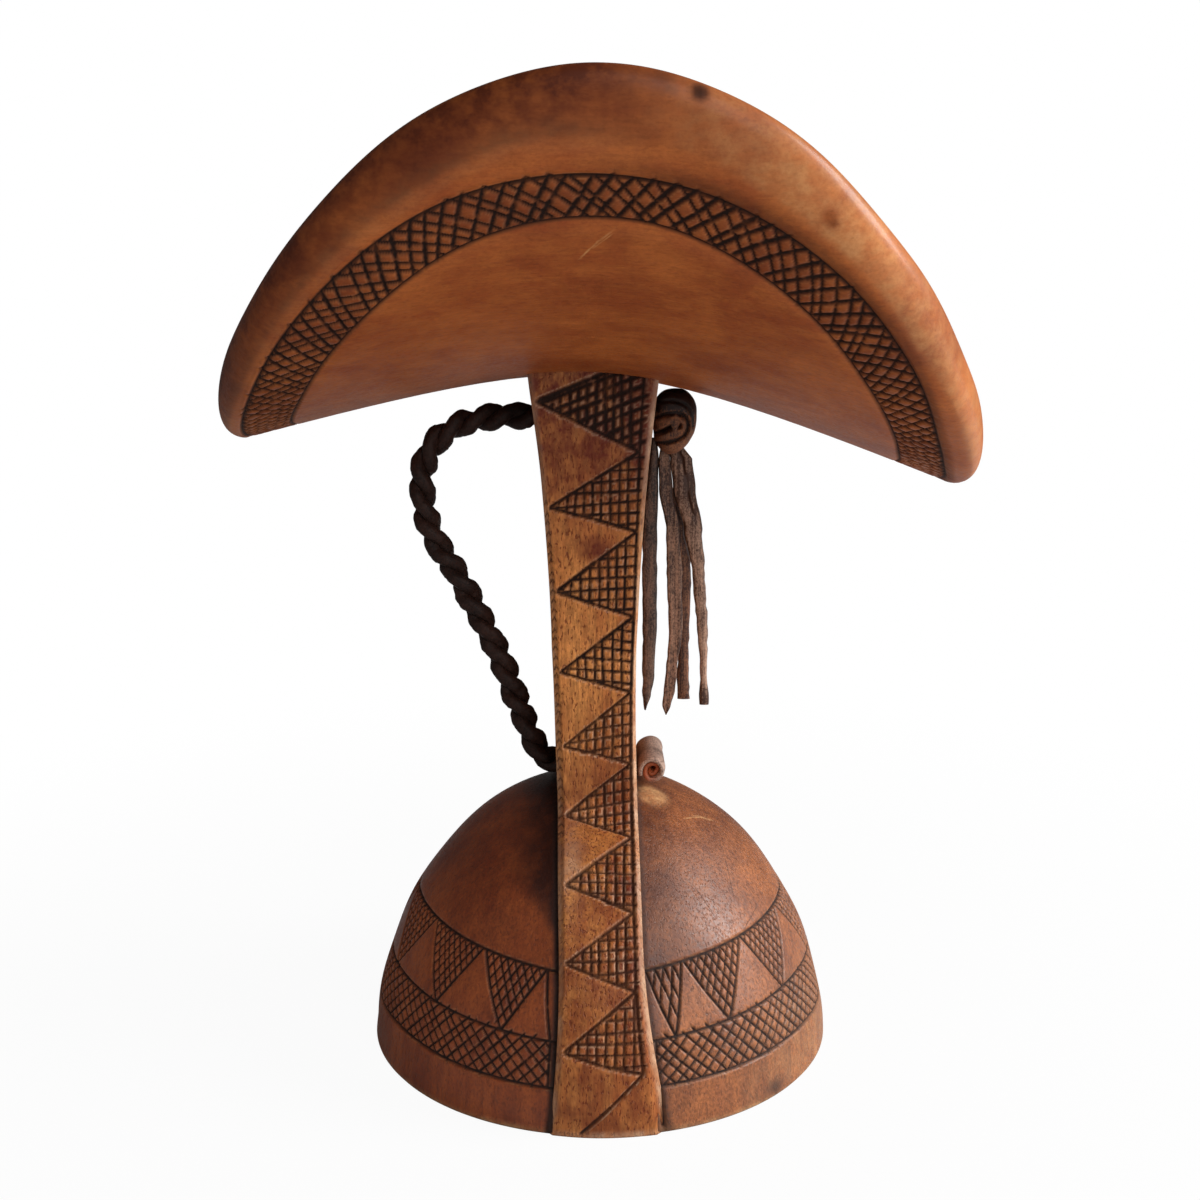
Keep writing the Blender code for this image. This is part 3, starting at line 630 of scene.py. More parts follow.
class HEADREST_OT_stage(bpy.types.Operator):
    """Set up the camera, the soft lights and the pale floor"""

    bl_idname = "headrest.stage"
    bl_label = "Stage"

    # Place of the camera, how far it looks down, and the point the lights aim at
    CAMERA = (0.0, -0.3018, 0.1534)
    PITCH = 0.1994
    AIM = (0.0, 0.0, 0.09)

    def execute(self, context):
        stage = context.scene.headrest_stage
        context.scene.view_settings.view_transform = "Standard"
        lens = bpy.data.cameras.new("camera")
        lens.lens = stage.focal_length
        lens.sensor_width = 36.0
        lens.clip_start = 0.01
        camera = bpy.data.objects.new("camera", lens)
        camera.location = self.CAMERA
        camera.rotation_euler = (math.pi / 2 - self.PITCH, 0.0, 0.0)
        context.scene.collection.objects.link(camera)
        context.scene.camera = camera

        self.light(context, "key", stage.key_power, 0.38, (0.72, -0.10, 0.42))
        self.light(context, "front", stage.front_power, 0.45, (0.30, -0.75, 0.42))
        self.light(context, "fill", stage.fill_power, 0.6, (-0.62, -0.35, 0.3))

        world = bpy.data.worlds.new("studio")
        context.scene.world = world
        world.use_nodes = True
        world.node_tree.nodes.clear()
        g = Graph(world.node_tree)
        path = g.node("ShaderNodeLightPath")
        soft = g.node("ShaderNodeBackground", {"Color": (1.0, 0.985, 0.965, 1.0), "Strength": stage.sky})
        plain = g.node("ShaderNodeBackground", {"Color": (1.0, 1.0, 1.0, 1.0), "Strength": 1.0})
        seen = path.outputs["Is Camera Ray"]
        chosen = g.node("ShaderNodeMixShader", {0: seen, 1: soft.outputs[0], 2: plain.outputs[0]})
        g.node("ShaderNodeOutputWorld", {"Surface": chosen.outputs[0]})

        paper, g = new_material("paper")
        path = g.node("ShaderNodeLightPath")
        spot = g.node("ShaderNodeTexCoord").outputs["Object"]
        fibre = g.noise(spot, (900, 900, 900), 2.0)
        tone = g.ramp(fibre, 0.3, 0.7, 0.64, 0.68)
        matt = g.node("ShaderNodeBsdfDiffuse", {"Color": g.grey(tone)})
        bright = g.node("ShaderNodeEmission", {"Color": (1.0, 1.0, 1.0, 1.0), "Strength": 1.0})
        away = g.vector("LENGTH", spot, None, "Value")
        share = g.times(path.outputs["Is Camera Ray"], g.ramp(away, 0.05, 0.30, 0.95, 1.0))
        g.surface(g.node("ShaderNodeMixShader", {0: share, 1: matt.outputs[0], 2: bright.outputs[0]}))
        floor = add_piece("floor", [(-3, -3, 0), (3, -3, 0), (3, 3, 0), (-3, 3, 0)], [(0, 1, 2, 3)], paper)
        if floor.data.polygons[0].normal.z < 0:
            floor.data.flip_normals()
        return {"FINISHED"}

    def light(self, context, name, power, size, place):
        """A square soft light aimed at the headrest."""
        lamp = bpy.data.lights.new(name, "AREA")
        lamp.energy = power
        lamp.size = size
        obj = bpy.data.objects.new(name, lamp)
        obj.location = place
        direction = np.array(self.AIM) - np.array(place)
        flat = math.hypot(direction[0], direction[1])
        heading = math.atan2(direction[1], direction[0]) - math.pi / 2
        obj.rotation_euler = (math.atan2(flat, -direction[2]), 0.0, heading)
        context.scene.collection.objects.link(obj)


def twisted_strap_tree():
    """Geometry nodes that lay two strands around each other along a flat curve."""
    tree = bpy.data.node_groups.new("Twisted Strap", "GeometryNodeTree")
    tree.interface.new_socket("Geometry", in_out="INPUT", socket_type="NodeSocketGeometry")
    for key in ("Strand Radius", "Lay Radius", "Twists"):
        tree.interface.new_socket(key, in_out="INPUT", socket_type="NodeSocketFloat")
    tree.interface.new_socket("Leather", in_out="INPUT", socket_type="NodeSocketMaterial")
    tree.interface.new_socket("Geometry", in_out="OUTPUT", socket_type="NodeSocketGeometry")
    g = Graph(tree)
    given = g.node("NodeGroupInput")
    result = g.node("NodeGroupOutput")

    vector, plus, minus, times = g.vector, g.plus, g.minus, g.times
    line = g.node("GeometryNodeResampleCurve")
    g.feed(line.inputs["Curve"], given.outputs["Geometry"])
    line.inputs["Count"].default_value = 420
    along = g.node("GeometryNodeSplineParameter").outputs["Factor"]
    tangent = g.node("GeometryNodeInputTangent").outputs[0]
    depth = (0.0, 1.0, 0.0)
    side = vector("CROSS_PRODUCT", tangent, depth)
    place = g.node("GeometryNodeInputPosition").outputs[0]
    joined = g.node("GeometryNodeJoinGeometry")
    for strand in (0, 1):
        shifted = vector("ADD", place, (strand * 3.7, 0.0, 0.0))
        lumps = g.node("ShaderNodeTexNoise", {"Vector": shifted, "Scale": 190.0, "Detail": 2.0}).outputs[0]
        angle = plus(times(times(along, given.outputs["Twists"]), 2 * math.pi), strand * math.pi)
        angle = plus(angle, times(minus(lumps, 0.5), 1.6))
        lay = times(given.outputs["Lay Radius"], plus(0.72, times(lumps, 0.56)))
        aside = vector("SCALE", side, times(g.maths("COSINE", angle), lay))
        offset = vector("ADD", aside, vector("SCALE", depth, times(g.maths("SINE", angle), lay)))
        moved = g.node("GeometryNodeSetPosition", {"Geometry": line.outputs[0], "Offset": offset})
        section = g.node("GeometryNodeCurvePrimitiveCircle")
        section.inputs["Resolution"].default_value = 20
        g.feed(section.inputs["Radius"], given.outputs["Strand Radius"])
        ends = {"Curve": moved.outputs[0], "Profile Curve": section.outputs[0], "Fill Caps": True}
        g.feed(joined.inputs[0], g.node("GeometryNodeCurveToMesh", ends).outputs[0])
    rough = g.node("ShaderNodeTexNoise", {"Vector": place, "Scale": 520.0, "Detail": 3.0}).outputs[0]
    pushed = vector("SCALE", g.node("GeometryNodeInputNormal").outputs[0], times(minus(rough, 0.5), 0.0009))
    lumpy = g.node("GeometryNodeSetPosition", {"Geometry": joined.outputs[0], "Offset": pushed})
    real = g.node("GeometryNodeRealizeInstances", {"Geometry": lumpy.outputs[0]})
    soft = g.node("GeometryNodeSetShadeSmooth", {"Geometry": real.outputs[0]})
    covered = g.node("GeometryNodeSetMaterial", {"Geometry": soft.outputs[0], "Material": given.outputs["Leather"]})
    g.feed(result.inputs[0], covered.outputs[0])
    return tree


class HEADREST_OT_strap(bpy.types.Operator):
    """Build the twisted carrying strap between the two bores"""

    bl_idname = "headrest.strap"
    bl_label = "Strap"

    # Reach to the left and drop below the upper bore
    UPPER = (
        (0.0200, 0), (0.0262, 0.0011), (0.0317, 0.0039), (0.0348, 0.0078),
        (0.0359, 0.0128), (0.0356, 0.0183), (0.0338, 0.0245),
    )
    # Reach to the left and height above the lower bore
    LOWER = ((0.0285, 0.0383), (0.0243, 0.0299), (0.0205, 0.0215), (0.0173, 0.0129), (0.0140, 0.0045))

    def execute(self, context):
        kit = leather()
        low_face = float(stem_edges(LOWER_BORE)[0])
        high_face = float(stem_edges(UPPER_BORE)[0])
        knots = [(low_face - 0.0030, 0, LOWER_BORE)]
        knots += [(-reach, 0, LOWER_BORE + rise) for reach, rise in reversed(self.LOWER)]
        knots += [(-reach, 0, UPPER_BORE - drop) for reach, drop in reversed(self.UPPER)]
        knots += [(high_face - 0.0030, 0, UPPER_BORE)]
        start = [(low_face + 0.004, 0, LOWER_BORE), (low_face, 0, LOWER_BORE)]
        end = [(high_face, 0, UPPER_BORE), (high_face + 0.004, 0, UPPER_BORE)]
        return self.build(context, kit, np.vstack([start, catmull(knots, 14), end]))

    def build(self, context, kit, route):
        """Lay the strands along the strap's middle line."""
        material = leather_material("strap leather", kit.strap_dark, kit.strap_light, 0.55, rough=0.6, gloss=0.2)
        data = bpy.data.curves.new("strap_line", "CURVE")
        data.dimensions = "3D"
        spline = data.splines.new("POLY")
        spline.points.add(len(route) - 1)
        spline.points.foreach_set("co", np.hstack([route, np.ones((len(route), 1))]).ravel())
        guide = bpy.data.objects.new("strap_line", data)
        context.scene.collection.objects.link(guide)
        tree = twisted_strap_tree()
        twist = guide.modifiers.new("twist", "NODES")
        twist.node_group = tree
        wanted = {"Strand Radius": kit.strand_radius, "Lay Radius": kit.lay_radius, "Twists": kit.twists}
        wanted["Leather"] = material
        for socket in tree.interface.items_tree:
            if socket.in_out == "INPUT" and socket.name in wanted:
                twist[socket.identifier] = wanted[socket.name]
        context.view_layer.update()
        made = bpy.data.meshes.new_from_object(guide.evaluated_get(context.evaluated_depsgraph_get()))
        bpy.data.objects.remove(guide)
        made.name = "strap_twist"
        strap = bpy.data.objects.new("strap_twist", made)
        context.scene.collection.objects.link(strap)
        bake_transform(strap)
        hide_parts("strap_loop", "strap_upper_tail", "strap_lower_tail")
        return {"FINISHED"}


class HEADREST_OT_thongs(bpy.types.Operator):
    """Build the tassel's four hanging thongs"""

    bl_idname = "headrest.thongs"
    bl_label = "Thongs"

    # Head point, then offset, drop and width at stations down each thong
    HEADS = (
        (0.0111481, 0.0, 0.1224679), (0.0129481, 0.0, 0.1215632),
        (0.0131481, 0.0024, 0.1215134), (0.0161481, 0.0, 0.1215015),
    )
    STATIONS = (
        (
            (-0.00025, 0, 0.0018), (-0.0005, 0.0060, 0.0023), (-0.00095, 0.0145, 0.0030), (-0.0010, 0.0240, 0.0031),
            (-0.00095, 0.0360, 0.0029), (-0.00115, 0.0460, 0.0025), (-0.00145, 0.0505, 0.0017),
            (-0.00165, 0.0535, 0.0003),
        ),
        (
            (0.0, 0, 0.0023), (0.00035, 0.0060, 0.0028), (0.00175, 0.0145, 0.0026), (0.00225, 0.0230, 0.0032),
            (0.0026, 0.0355, 0.0028), (0.0019, 0.0440, 0.0023), (0.0014, 0.0485, 0.0024), (0.0009, 0.0518, 0.0016),
            (0.0008, 0.0536, 0.0002),
        ),
        (
            (0.00035, 0, 0.0014), (0.0005, 0.0050, 0.0018), (0.0011, 0.0078, 0.0021), (0.0026, 0.0146, 0.0031),
            (0.0040, 0.0216, 0.0031), (0.00425, 0.0280, 0.0028), (0.0042, 0.0360, 0.0023), (0.0042, 0.0440, 0.0023),
            (0.0044, 0.0508, 0.0027),
        ),
        (
            (0.00022, 0, 0.00444), (0.0009, 0.0060, 0.0046), (0.0028, 0.0146, 0.0037), (0.0040, 0.0230, 0.0026),
            (0.0050, 0.0360, 0.0022), (0.0053, 0.0420, 0.0015), (0.0053, 0.0460, 0.0015), (0.0054, 0.0490, 0.0020),
            (0.0055, 0.0513, 0.0020),
        ),
    )
    # Length hidden in the knot
    HIDDEN = 0.0032

    def execute(self, context):
        kit = leather()
        shades = (
            (kit.brown_dark, kit.brown_light), (kit.dun_dark, kit.dun_light),
            (kit.red_dark, kit.red_light), (kit.suede_dark, kit.suede_light),
        )
        for number, (head, stations, (dark, light)) in enumerate(zip(self.HEADS, self.STATIONS, shades), 1):
            material = leather_material(f"thong {number}", dark, light, 0.7, 1.0, shade="shade")
            self.thong(number, head, np.array(stations), material, kit.thong_thickness)
        return {"FINISHED"}

    def thong(self, number, head, stations, material, thickness):
        """One flat strip, frayed at its edges, bending where it leaves the knot."""
        rng = np.random.default_rng(40 + number)
        rows, columns = 150, 13
        drop = np.linspace(-self.HIDDEN, stations[-1, 1], rows)
        k = np.clip(np.searchsorted(stations[:, 1], drop, side="right") - 1, 0, len(stations) - 2)
        t = np.maximum(drop - stations[k, 1], 0) / (stations[k + 1, 1] - stations[k, 1])
        ease = t * t * (3 - 2 * t)
        offset = stations[k, 0] + (stations[k + 1, 0] - stations[k, 0]) * ease
        width = stations[k, 2] + (stations[k + 1, 2] - stations[k, 2]) * t
        hidden = np.clip(-drop / self.HIDDEN, 0, 1)
        offset = offset - 0.0016 * hidden * (number == 4)
        width = width * (1 - 0.45 * hidden)
        knots = np.linspace(0, drop[-1], 40)
        loose = smooth(0.006, 0.014, drop)
        fray, fray2 = (np.interp(drop, knots, rng.normal(0, 0.00007, 40)) * loose for _ in (0, 1))
        tip = np.clip((drop[-1] - drop) / 0.0016, 0.15, 1.0) ** 0.5
        sway = 0.00025 * np.sin(drop / 0.009 + number) * np.clip(drop / 0.01, 0, 1)
        across = np.linspace(-1, 1, columns)
        half = width[:, None] / 2
        ragged = np.where(across < 0, fray[:, None], fray2[:, None]) * np.abs(across)
        x = head[0] + offset[:, None] + across[None, :] * half + ragged
        round_edge = np.sqrt(np.maximum(1 - np.abs(across) ** 5, 0.02))[None, :]
        thick = thickness / 2 * tip[:, None] * round_edge * np.clip(half / 0.0006, 0.4, 1.0)
        cup = 0.00022 * (across**2)[None, :] * np.sign(math.sin(number * 2.1))
        cut = np.zeros((rows, columns))
        shade = 0.30 * smooth(0.024, 0.004, drop)[:, None] + 0.38 * np.abs(across[None, :]) ** 4
        if number == 4:
            slit = np.abs(across[None, :] - (0.15 + 0.25 * drop[:, None] / 0.012)) * half
            cut = np.clip(1 - slit / 0.0003, 0, 1) * smooth(0.0135, 0.011, drop)[:, None]
            shade = shade + smooth(0.046, 0.049, drop)[:, None] * 0.5
        if number == 3:
            shade = shade + 0.15
        z = head[2] - drop[:, None] + np.zeros((rows, columns))
        front = np.stack([x, head[1] + sway[:, None] - thick + cup + 0.0005 * cut, z], axis=-1)
        back = np.stack([x, head[1] + sway[:, None] + thick + cup, z], axis=-1)[:, ::-1]
        ring = np.concatenate([front, back], axis=1)
        marks = np.concatenate([shade + cut, shade[:, ::-1]], axis=1)
        faces = tube_faces(rows, 2 * columns)
        name = f"thong_{number}_strip"
        obj = add_piece(name, ring.reshape(-1, 3), faces, material, {"shade": marks}, math.radians(70))
        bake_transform(obj)
        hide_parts(f"tassel_thong_{number}")


def wound_strip(line, thickness, width, squareness):
    """Points and faces of a strip with rounded edges wound along a line in the x and z directions."""
    tangent = np.gradient(line, axis=0)
    tangent /= np.linalg.norm(tangent, axis=1, keepdims=True)
    normal = np.stack([-tangent[:, 1], tangent[:, 0]], axis=1)
    turn = np.linspace(0, 2 * math.pi, 28, endpoint=False)
    c, s = np.cos(turn), np.sin(turn)
    flat = np.sign(c) * np.abs(c) ** 0.5
    long = np.sign(s) * np.abs(s) ** squareness
    half = width[:, None] / 2
    out = flat[None, :] * thickness[:, None] / 2
    x = line[:, :1] + normal[:, :1] * out
    z = line[:, 1:] + normal[:, 1:] * out
    y = long[None, :] * half + 0 * x
    points = np.stack([x, y, z], axis=-1)
    return points, tube_faces(len(line), len(turn))


class HEADREST_OT_knot(bpy.types.Operator):
    """Build the wound leather knot the thongs hang from"""

    bl_idname = "headrest.knot"
    bl_label = "Knot"

    # Angle in degrees and reach in millimetres of the knot's outline seen from the front
    ANGLES = (0, 20, 47, 72, 90, 110, 131, 152, 180, 195, 226, 250, 266, 287, 315, 345, 360)
    REACH = (4.3, 4.6, 5.8, 6.7, 6.6, 6.6, 5.9, 4.8, 4.3, 4.4, 5.5, 6.5, 6.6, 5.6, 4.6, 4.3, 4.3)
    # Slit of the eye and the edge of the strip around it, in millimetres
    SLIT = ((-4.3, -2.3), (-2.2, -1.5), (-0.6, -0.7), (0.7, -0.5))
    FOLD = ((-4.2, 0.9), (-2.0, 1.7), (0.4, 1.9), (2.0, 1.0), (2.5, -0.7), (1.6, -2.5), (-0.6, -3.6), (-3.6, -4.0))
    LAP = ((-3.8, 4.0), (-1.0, 4.4), (1.8, 3.6), (3.2, 1.6), (3.5, -0.6))

    def execute(self, context):
        kit = leather()
        middle_x = float(stem_edges(UPPER_BORE)[1]) + 0.0003 + kit.knot_width / 2
        middle_z = UPPER_BORE - 0.0011
        rows, columns = 130, 220
        turn = np.linspace(0, 2 * math.pi, columns, endpoint=False)
        reach = np.interp(np.degrees(turn), self.ANGLES, self.REACH)
        spread = np.hanning(17)
        wrapped = np.concatenate([reach[-16:], reach, reach[:16]])
        reach = np.convolve(wrapped, spread / spread.sum(), "same")[16:-16] / 1000
        reach *= kit.knot_width / 0.0092
        swing = np.linspace(-math.pi / 2, math.pi / 2, rows + 2)[1:-1]
        out = np.abs(np.cos(swing)) ** 0.42
        deep = np.sign(swing) * np.abs(np.sin(swing)) ** 0.75 * kit.knot_depth / 2
        x = out[:, None] * reach * np.cos(turn)
        z = out[:, None] * reach * np.sin(turn)
        carving = Carving(x * 1000, z * 1000)
        for line, width, depth in ((self.SLIT, 1.5, 3.4), (self.FOLD, 1.25, 1.3), (self.LAP, 1.0, 0.8)):
            curve = catmull(line, 8)
            for a, b in zip(curve[:-1], curve[1:]):
                carving.stroke(a, b, width, depth)
        front = smooth(0.2, -0.4, swing)[:, None]
        roll = 0.0007 * np.exp(-(((x * 1000 + 0.8) / 2.2) ** 2 + ((z * 1000 - 0.5) / 1.2) ** 2))
        y = deep[:, None] + 0 * x + front * (carving.depth / 1000 - roll)
        pinch = 1 - 0.10 * carving.depth / 3.4 * (1 - front)
        points = np.stack([middle_x + x * pinch, y, middle_z + z * pinch], axis=-1).reshape(-1, 3)
        faces = tube_faces(rows, columns)
        shade = np.clip(0.95 * smooth(0.0008, 0.0042, z) + 0.9 * front * carving.dark, 0, 1)
        material = leather_material("knot leather", kit.knot_dark, kit.knot_light, 0.75, shade="shade")
        obj = add_piece("knot_winding", points, faces, material, {"shade": shade}, math.radians(80))
        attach(obj, "headrest")
        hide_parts("tassel_knot")
        return {"FINISHED"}


class HEADREST_OT_toggle(bpy.types.Operator):
    """Build the rolled leather toggle that stops the strap"""

    bl_idname = "headrest.toggle"
    bl_label = "Toggle"

    def execute(self, context):
        kit = leather()
        middle_x = float(stem_edges(LOWER_BORE)[1]) + 0.0002 + kit.toggle_radius
        t = np.linspace(0, 1, 240)
        angle = math.radians(150) + 2.15 * 2 * math.pi * t
        strip = 0.00120
        radius = 0.00045 + (kit.toggle_radius - strip / 2 - 0.00045) * t
        line = np.stack([middle_x + radius * np.cos(angle), LOWER_BORE + radius * np.sin(angle)], axis=1)
        reach = kit.toggle_length * (0.93 + 0.07 * np.cos(angle * 0.5))
        points, faces = wound_strip(line, np.full(len(t), strip), reach, 0.28)
        y, around = points[..., 1], angle[:, None]
        lump = 0.00010 * np.sin(y * 900 + 2 * around) + 0.00006 * np.sin(y * 2100 - 3 * around)
        points[..., 0] += lump * np.cos(angle)[:, None]
        points[..., 2] += lump * np.sin(angle)[:, None]
        core = (1 - smooth(0.50, 0.74, t))[:, None] + np.zeros(points.shape[:2])
        shade = smooth(0.7, 0.4, np.abs(points[..., 1]) / (kit.toggle_length / 2)) * 0.3
        inside = ("core", kit.toggle_core)
        material = leather_material("toggle leather", kit.toggle_dark, kit.toggle_skin, 0.8, shade="shade", core=inside)
        marks = {"core": core, "shade": shade}
        obj = add_piece("toggle_roll", points.reshape(-1, 3), faces, material, marks, math.radians(80))
        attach(obj, "toggle")
        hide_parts("stop_toggle")
        return {"FINISHED"}


def finish_wood(obj):
    """Join a piece of the carved block to its body and hide the imported block."""
    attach(obj, "headrest")
    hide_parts("carved_body")


class HEADREST_OT_pillow(bpy.types.Operator):
    """Build the saddle pillow with its carved lattice band"""

    bl_idname = "headrest.pillow"
    bl_label = "Pillow"

    # Plan angle in degrees and the shares of the outline where the band's two border lines run
    ANGLES = (180, 204, 216, 228, 240, 250, 262, 274, 286, 298, 310, 322, 334, 346, 360)
    INNER = (0.824, 0.825, 0.825, 0.838, 0.845, 0.856, 0.857, 0.860, 0.848, 0.838, 0.818, 0.805, 0.796, 0.806, 0.815)
    OUTER = (0.945, 0.945, 0.948, 0.955, 0.951, 0.945, 0.929, 0.928, 0.937, 0.946, 0.936, 0.908, 0.905, 0.925, 0.935)

    # Pale scratches on the underside and the point their slices run to
    SCRATCHES = (
        ((-0.00385, -0.06639, 0.1586), (0.00269, -0.07321, 0.1638), 0.0005),
        ((-0.0015, -0.0685, 0.1602), (0.0024, -0.0722, 0.1630), 0.0003),
    )
    HUB = (0.0, -0.060, 0.190)
    # Faint smudges and dark spots of the rim: place, radius and strength
    BLOTCHES = (
        ((0.0139, -0.0853, 0.1779), 0.0024, 0.22),
        ((0.0226, -0.0835, 0.1738), 0.0022, 0.14),
        ((0.0277, -0.0818, 0.1707), 0.0022, 0.28),
        ((0.0080, -0.0860, 0.1824), 0.0024, 0.15),
    )
    SPOTS = (
        ((0.0138, -0.0854, 0.1812), 0.0014, 0.9),
        ((0.0331, -0.0789, 0.1647), 0.0013, 0.30),
        ((0.0338, -0.0784, 0.1638), 0.0009, 0.45),
    )

    def border(self, angle, shares):
        """A border line's share of the outline at plan angles, the same on the far side."""
        degrees = np.degrees(angle) % 360
        degrees = np.where(degrees < 180, 360 - degrees, degrees)
        line = np.interp(degrees, self.ANGLES, shares)
        spread = np.hanning(61)
        return np.convolve(np.concatenate([line[-60:], line, line[:60]]), spread / spread.sum(), "same")[60:-60]

    def rim_lift(self, share):
        """Lift of the lower half of the rounded rim over the underside."""
        w = wood()
        flat = 1 - 2 * RIM_BREADTH / w.pillow_width
        bend = np.clip((share - flat) / (1 - flat), 0, 1) ** 1.25
        return w.pillow_thickness * (1 - np.sqrt(1 - bend**2)) / 2

    def execute(self, context):
        w = wood()
        columns = 1400
        fine = np.linspace(math.pi / 2, math.pi * 2.5, 6001)
        line = pillow_points(0.9, fine, 0.0)
        run = np.concatenate([[0], np.cumsum(np.linalg.norm(np.diff(line, axis=0), axis=1))])
        spots = np.arange(columns) * run[-1] / columns
        angle = np.interp(spots, run, fine)
        inner, outer = self.border(angle, self.INNER), self.border(angle, self.OUTER)

        last = 0.975
        inside = np.linspace(0.035, 0.96, 11)[:, None] * inner[None, :]
        band = inner + np.linspace(-0.07, 1.10, 36)[:, None] * (outer - inner)[None, :]
        edge = band[-1, ::2] + np.linspace(0, 1, 6)[1:, None] * (last - band[-1, ::2])[None, :]
        share = np.concatenate([inside, band])
        points = pillow_points(share, angle[None, :], self.rim_lift(share))
        carving = self.carve(spots, run[-1], angle, share, inner, outer)
        for field in (carving.depth, carving.dark, carving.rub_and_highlight):
            field[: len(inside) + 1] = 0
        normals = surface_normals(points, True)
        normals *= np.sign((normals[..., 2:] * -1).mean())
        points = points - normals * carving.depth[..., None]

        flat = 1 - 2 * RIM_BREADTH / w.pillow_width
        first_turn = math.pi - math.asin(((last - flat) / (1 - flat)) ** 1.25)
        turn = np.concatenate([np.linspace(first_turn, 0.3, 24)[1:], [0.2, 0.12, 0.06, 0.02, 0.0]])
        rim_share = flat + (1 - flat) * np.sin(np.maximum(turn, 0)) ** 0.8
        rim_lift = w.pillow_thickness * (1 + np.cos(turn)) / 2
        coarse_angle = angle[::2]
        top_share = np.concatenate([rim_share, np.linspace(0.925, 0.03, 13)])[:, None] + 0 * coarse_angle
        top_lift = np.concatenate([rim_lift, np.full(13, w.pillow_thickness)])[:, None] + 0 * coarse_angle
        top_share = np.concatenate([edge, top_share])
        top_lift = np.concatenate([self.rim_lift(edge), top_lift])
        top = pillow_points(top_share, coarse_angle[None, :], top_lift)
        top = top + self.waves(top)[..., None] * np.array([0.0, 0.0, 1.0])

        rows, half = len(share), columns // 2
        faces = grid_faces(rows, columns, True)
        first = rows * columns
        border = (rows - 1) * columns
        for j in range(half):
            a, b, c = border + 2 * j, border + 2 * j + 1, border + (2 * j + 2) % columns
            d, e = first + j, first + (j + 1) % half
            faces += [(a, b, d), (b, e, d), (b, c, e)]
        faces += grid_faces(len(top_share), half, True, first)
        everything = np.vstack([points.reshape(-1, 3), top.reshape(-1, 3)])
        low_pole, high_pole = len(everything), len(everything) + 1
        nil = np.zeros(1)
        poles = [pillow_points(nil, nil, nil), pillow_points(nil, nil, nil + w.pillow_thickness)]
        everything = np.vstack([everything, *poles])
        faces += [(j, (j + 1) % columns, low_pole) for j in range(columns)]
        last = first + (len(top_share) - 1) * half
        faces += [(last + j, last + (j + 1) % half, high_pole) for j in range(half)]

        plain = np.zeros(top.shape[0] * top.shape[1] + 2)
        groove = np.concatenate([carving.dark.ravel(), plain])
        between = np.clip((share - inner) / (outer - inner), -1, 2)
        band = np.concatenate([(smooth(-0.02, 0.02, between) * smooth(1.02, 0.98, between)).ravel(), plain])
        # The third result holds dark spots and painted shade in the band's outer crease
        stain_and_shade, wear_and_highlight, spots = self.marks(everything, band)
        groove = np.maximum(groove, spots)
        # Pale edges of the cuts: rubbing with painted highlight
        wear_and_highlight[: carving.dark.size] = np.maximum(wear_and_highlight[: carving.dark.size], 0.16 * carving.rubbed().ravel())
        traits = {"Pores": 0.2, "Fibre": 0.3, "Cracks": 0.0, "Mottle": 0.7, "Blotch": 0.6, "Grain": 0.18}
        material = wood_material(
            "pillow wood", w.pillow_light, w.pillow_deep, self.HUB, traits, grain="X", gloss=0.15, bump=0.3,
            coat=0.02, polish=0.5, stain_and_shade=w.pillow_stain_and_shade, worn_and_highlight=w.pillow_highlight_and_worn, scratches=self.SCRATCHES,
        )
        obj = add_piece("pillow", everything, faces, material, {"groove": groove, "stain_and_shade": stain_and_shade, "wear_and_highlight": wear_and_highlight})
        finish_wood(obj)
        return {"FINISHED"}

    def waves(self, points):
        """Slow unevenness left by the adze."""
        x, y = points[..., 0], points[..., 1]
        return 0.00018 * (np.sin(x * 190 + 1.3) * np.cos(y * 150) + np.sin(y * 240 + x * 90))

    def carve(self, spots, around, angle, share, inner, outer):
        """Two leaning families of cuts between two border lines."""
        w = wood()
        rng = np.random.default_rng(11)
        breadth = np.linalg.norm(pillow_points(outer, angle, 0.0) - pillow_points(inner, angle, 0.0), axis=1)
        along = (share - inner) / (outer - inner) * breadth
        carving = Carving(spots[None, :], along)
        carving.ring(0.0, 0.00105, 0.8 * w.cut_depth)
        carving.ring(breadth[None, :], 0.00130, 0.9 * w.cut_depth)
        count = 166
        for number in range(count):
            spot = (number + rng.normal(0, 0.05)) * around / count
            phi = np.interp(spot, spots, angle)
            wide = np.interp(spot, spots, breadth)
            families = ((30 + 15 * math.cos(phi), -1, 0.00142), (42 - 14 * math.cos(phi), 1, 0.00112))
            for lean, sign, width in families:
                lean = math.radians(lean + rng.normal(0, 1.0))
                low = rng.choice([0.0, 0.0, -0.0003, 0.0003])
                high = wide + rng.choice([0.0, 0.0, 0.0003, 0.0006])
                head = spot + rng.normal(0, 0.00010)
                foot = head + sign * (high - low) * math.tan(lean)
                for wrap in (-around, 0.0, around):
                    if -0.02 < head + wrap < around + 0.02:
                        carving.bent(rng, (foot + wrap, low), (head + wrap, high), width, w.cut_depth)
        return carving

    def marks(self, points, band):
        """Stains, rubbing and dark marks, with painted light and shade: the rim where it was held, painted darker on
        the left and over its top as shade and paler on the right as light; painted shade under the neck; the band;
        painted shade in its outer crease; smudges and dark spots.
        """
        w = wood()
        x, y, z = points.T
        c, s = math.cos(PILLOW_TURN), math.sin(PILLOW_TURN)
        plan_x, plan_y = x * c + y * s, y * c - x * s
        thickness = w.pillow_thickness * (1 + PILLOW_THICKENING * plan_x / w.pillow_width)
        lift = (z - pillow_underside(plan_x, plan_y)) / thickness
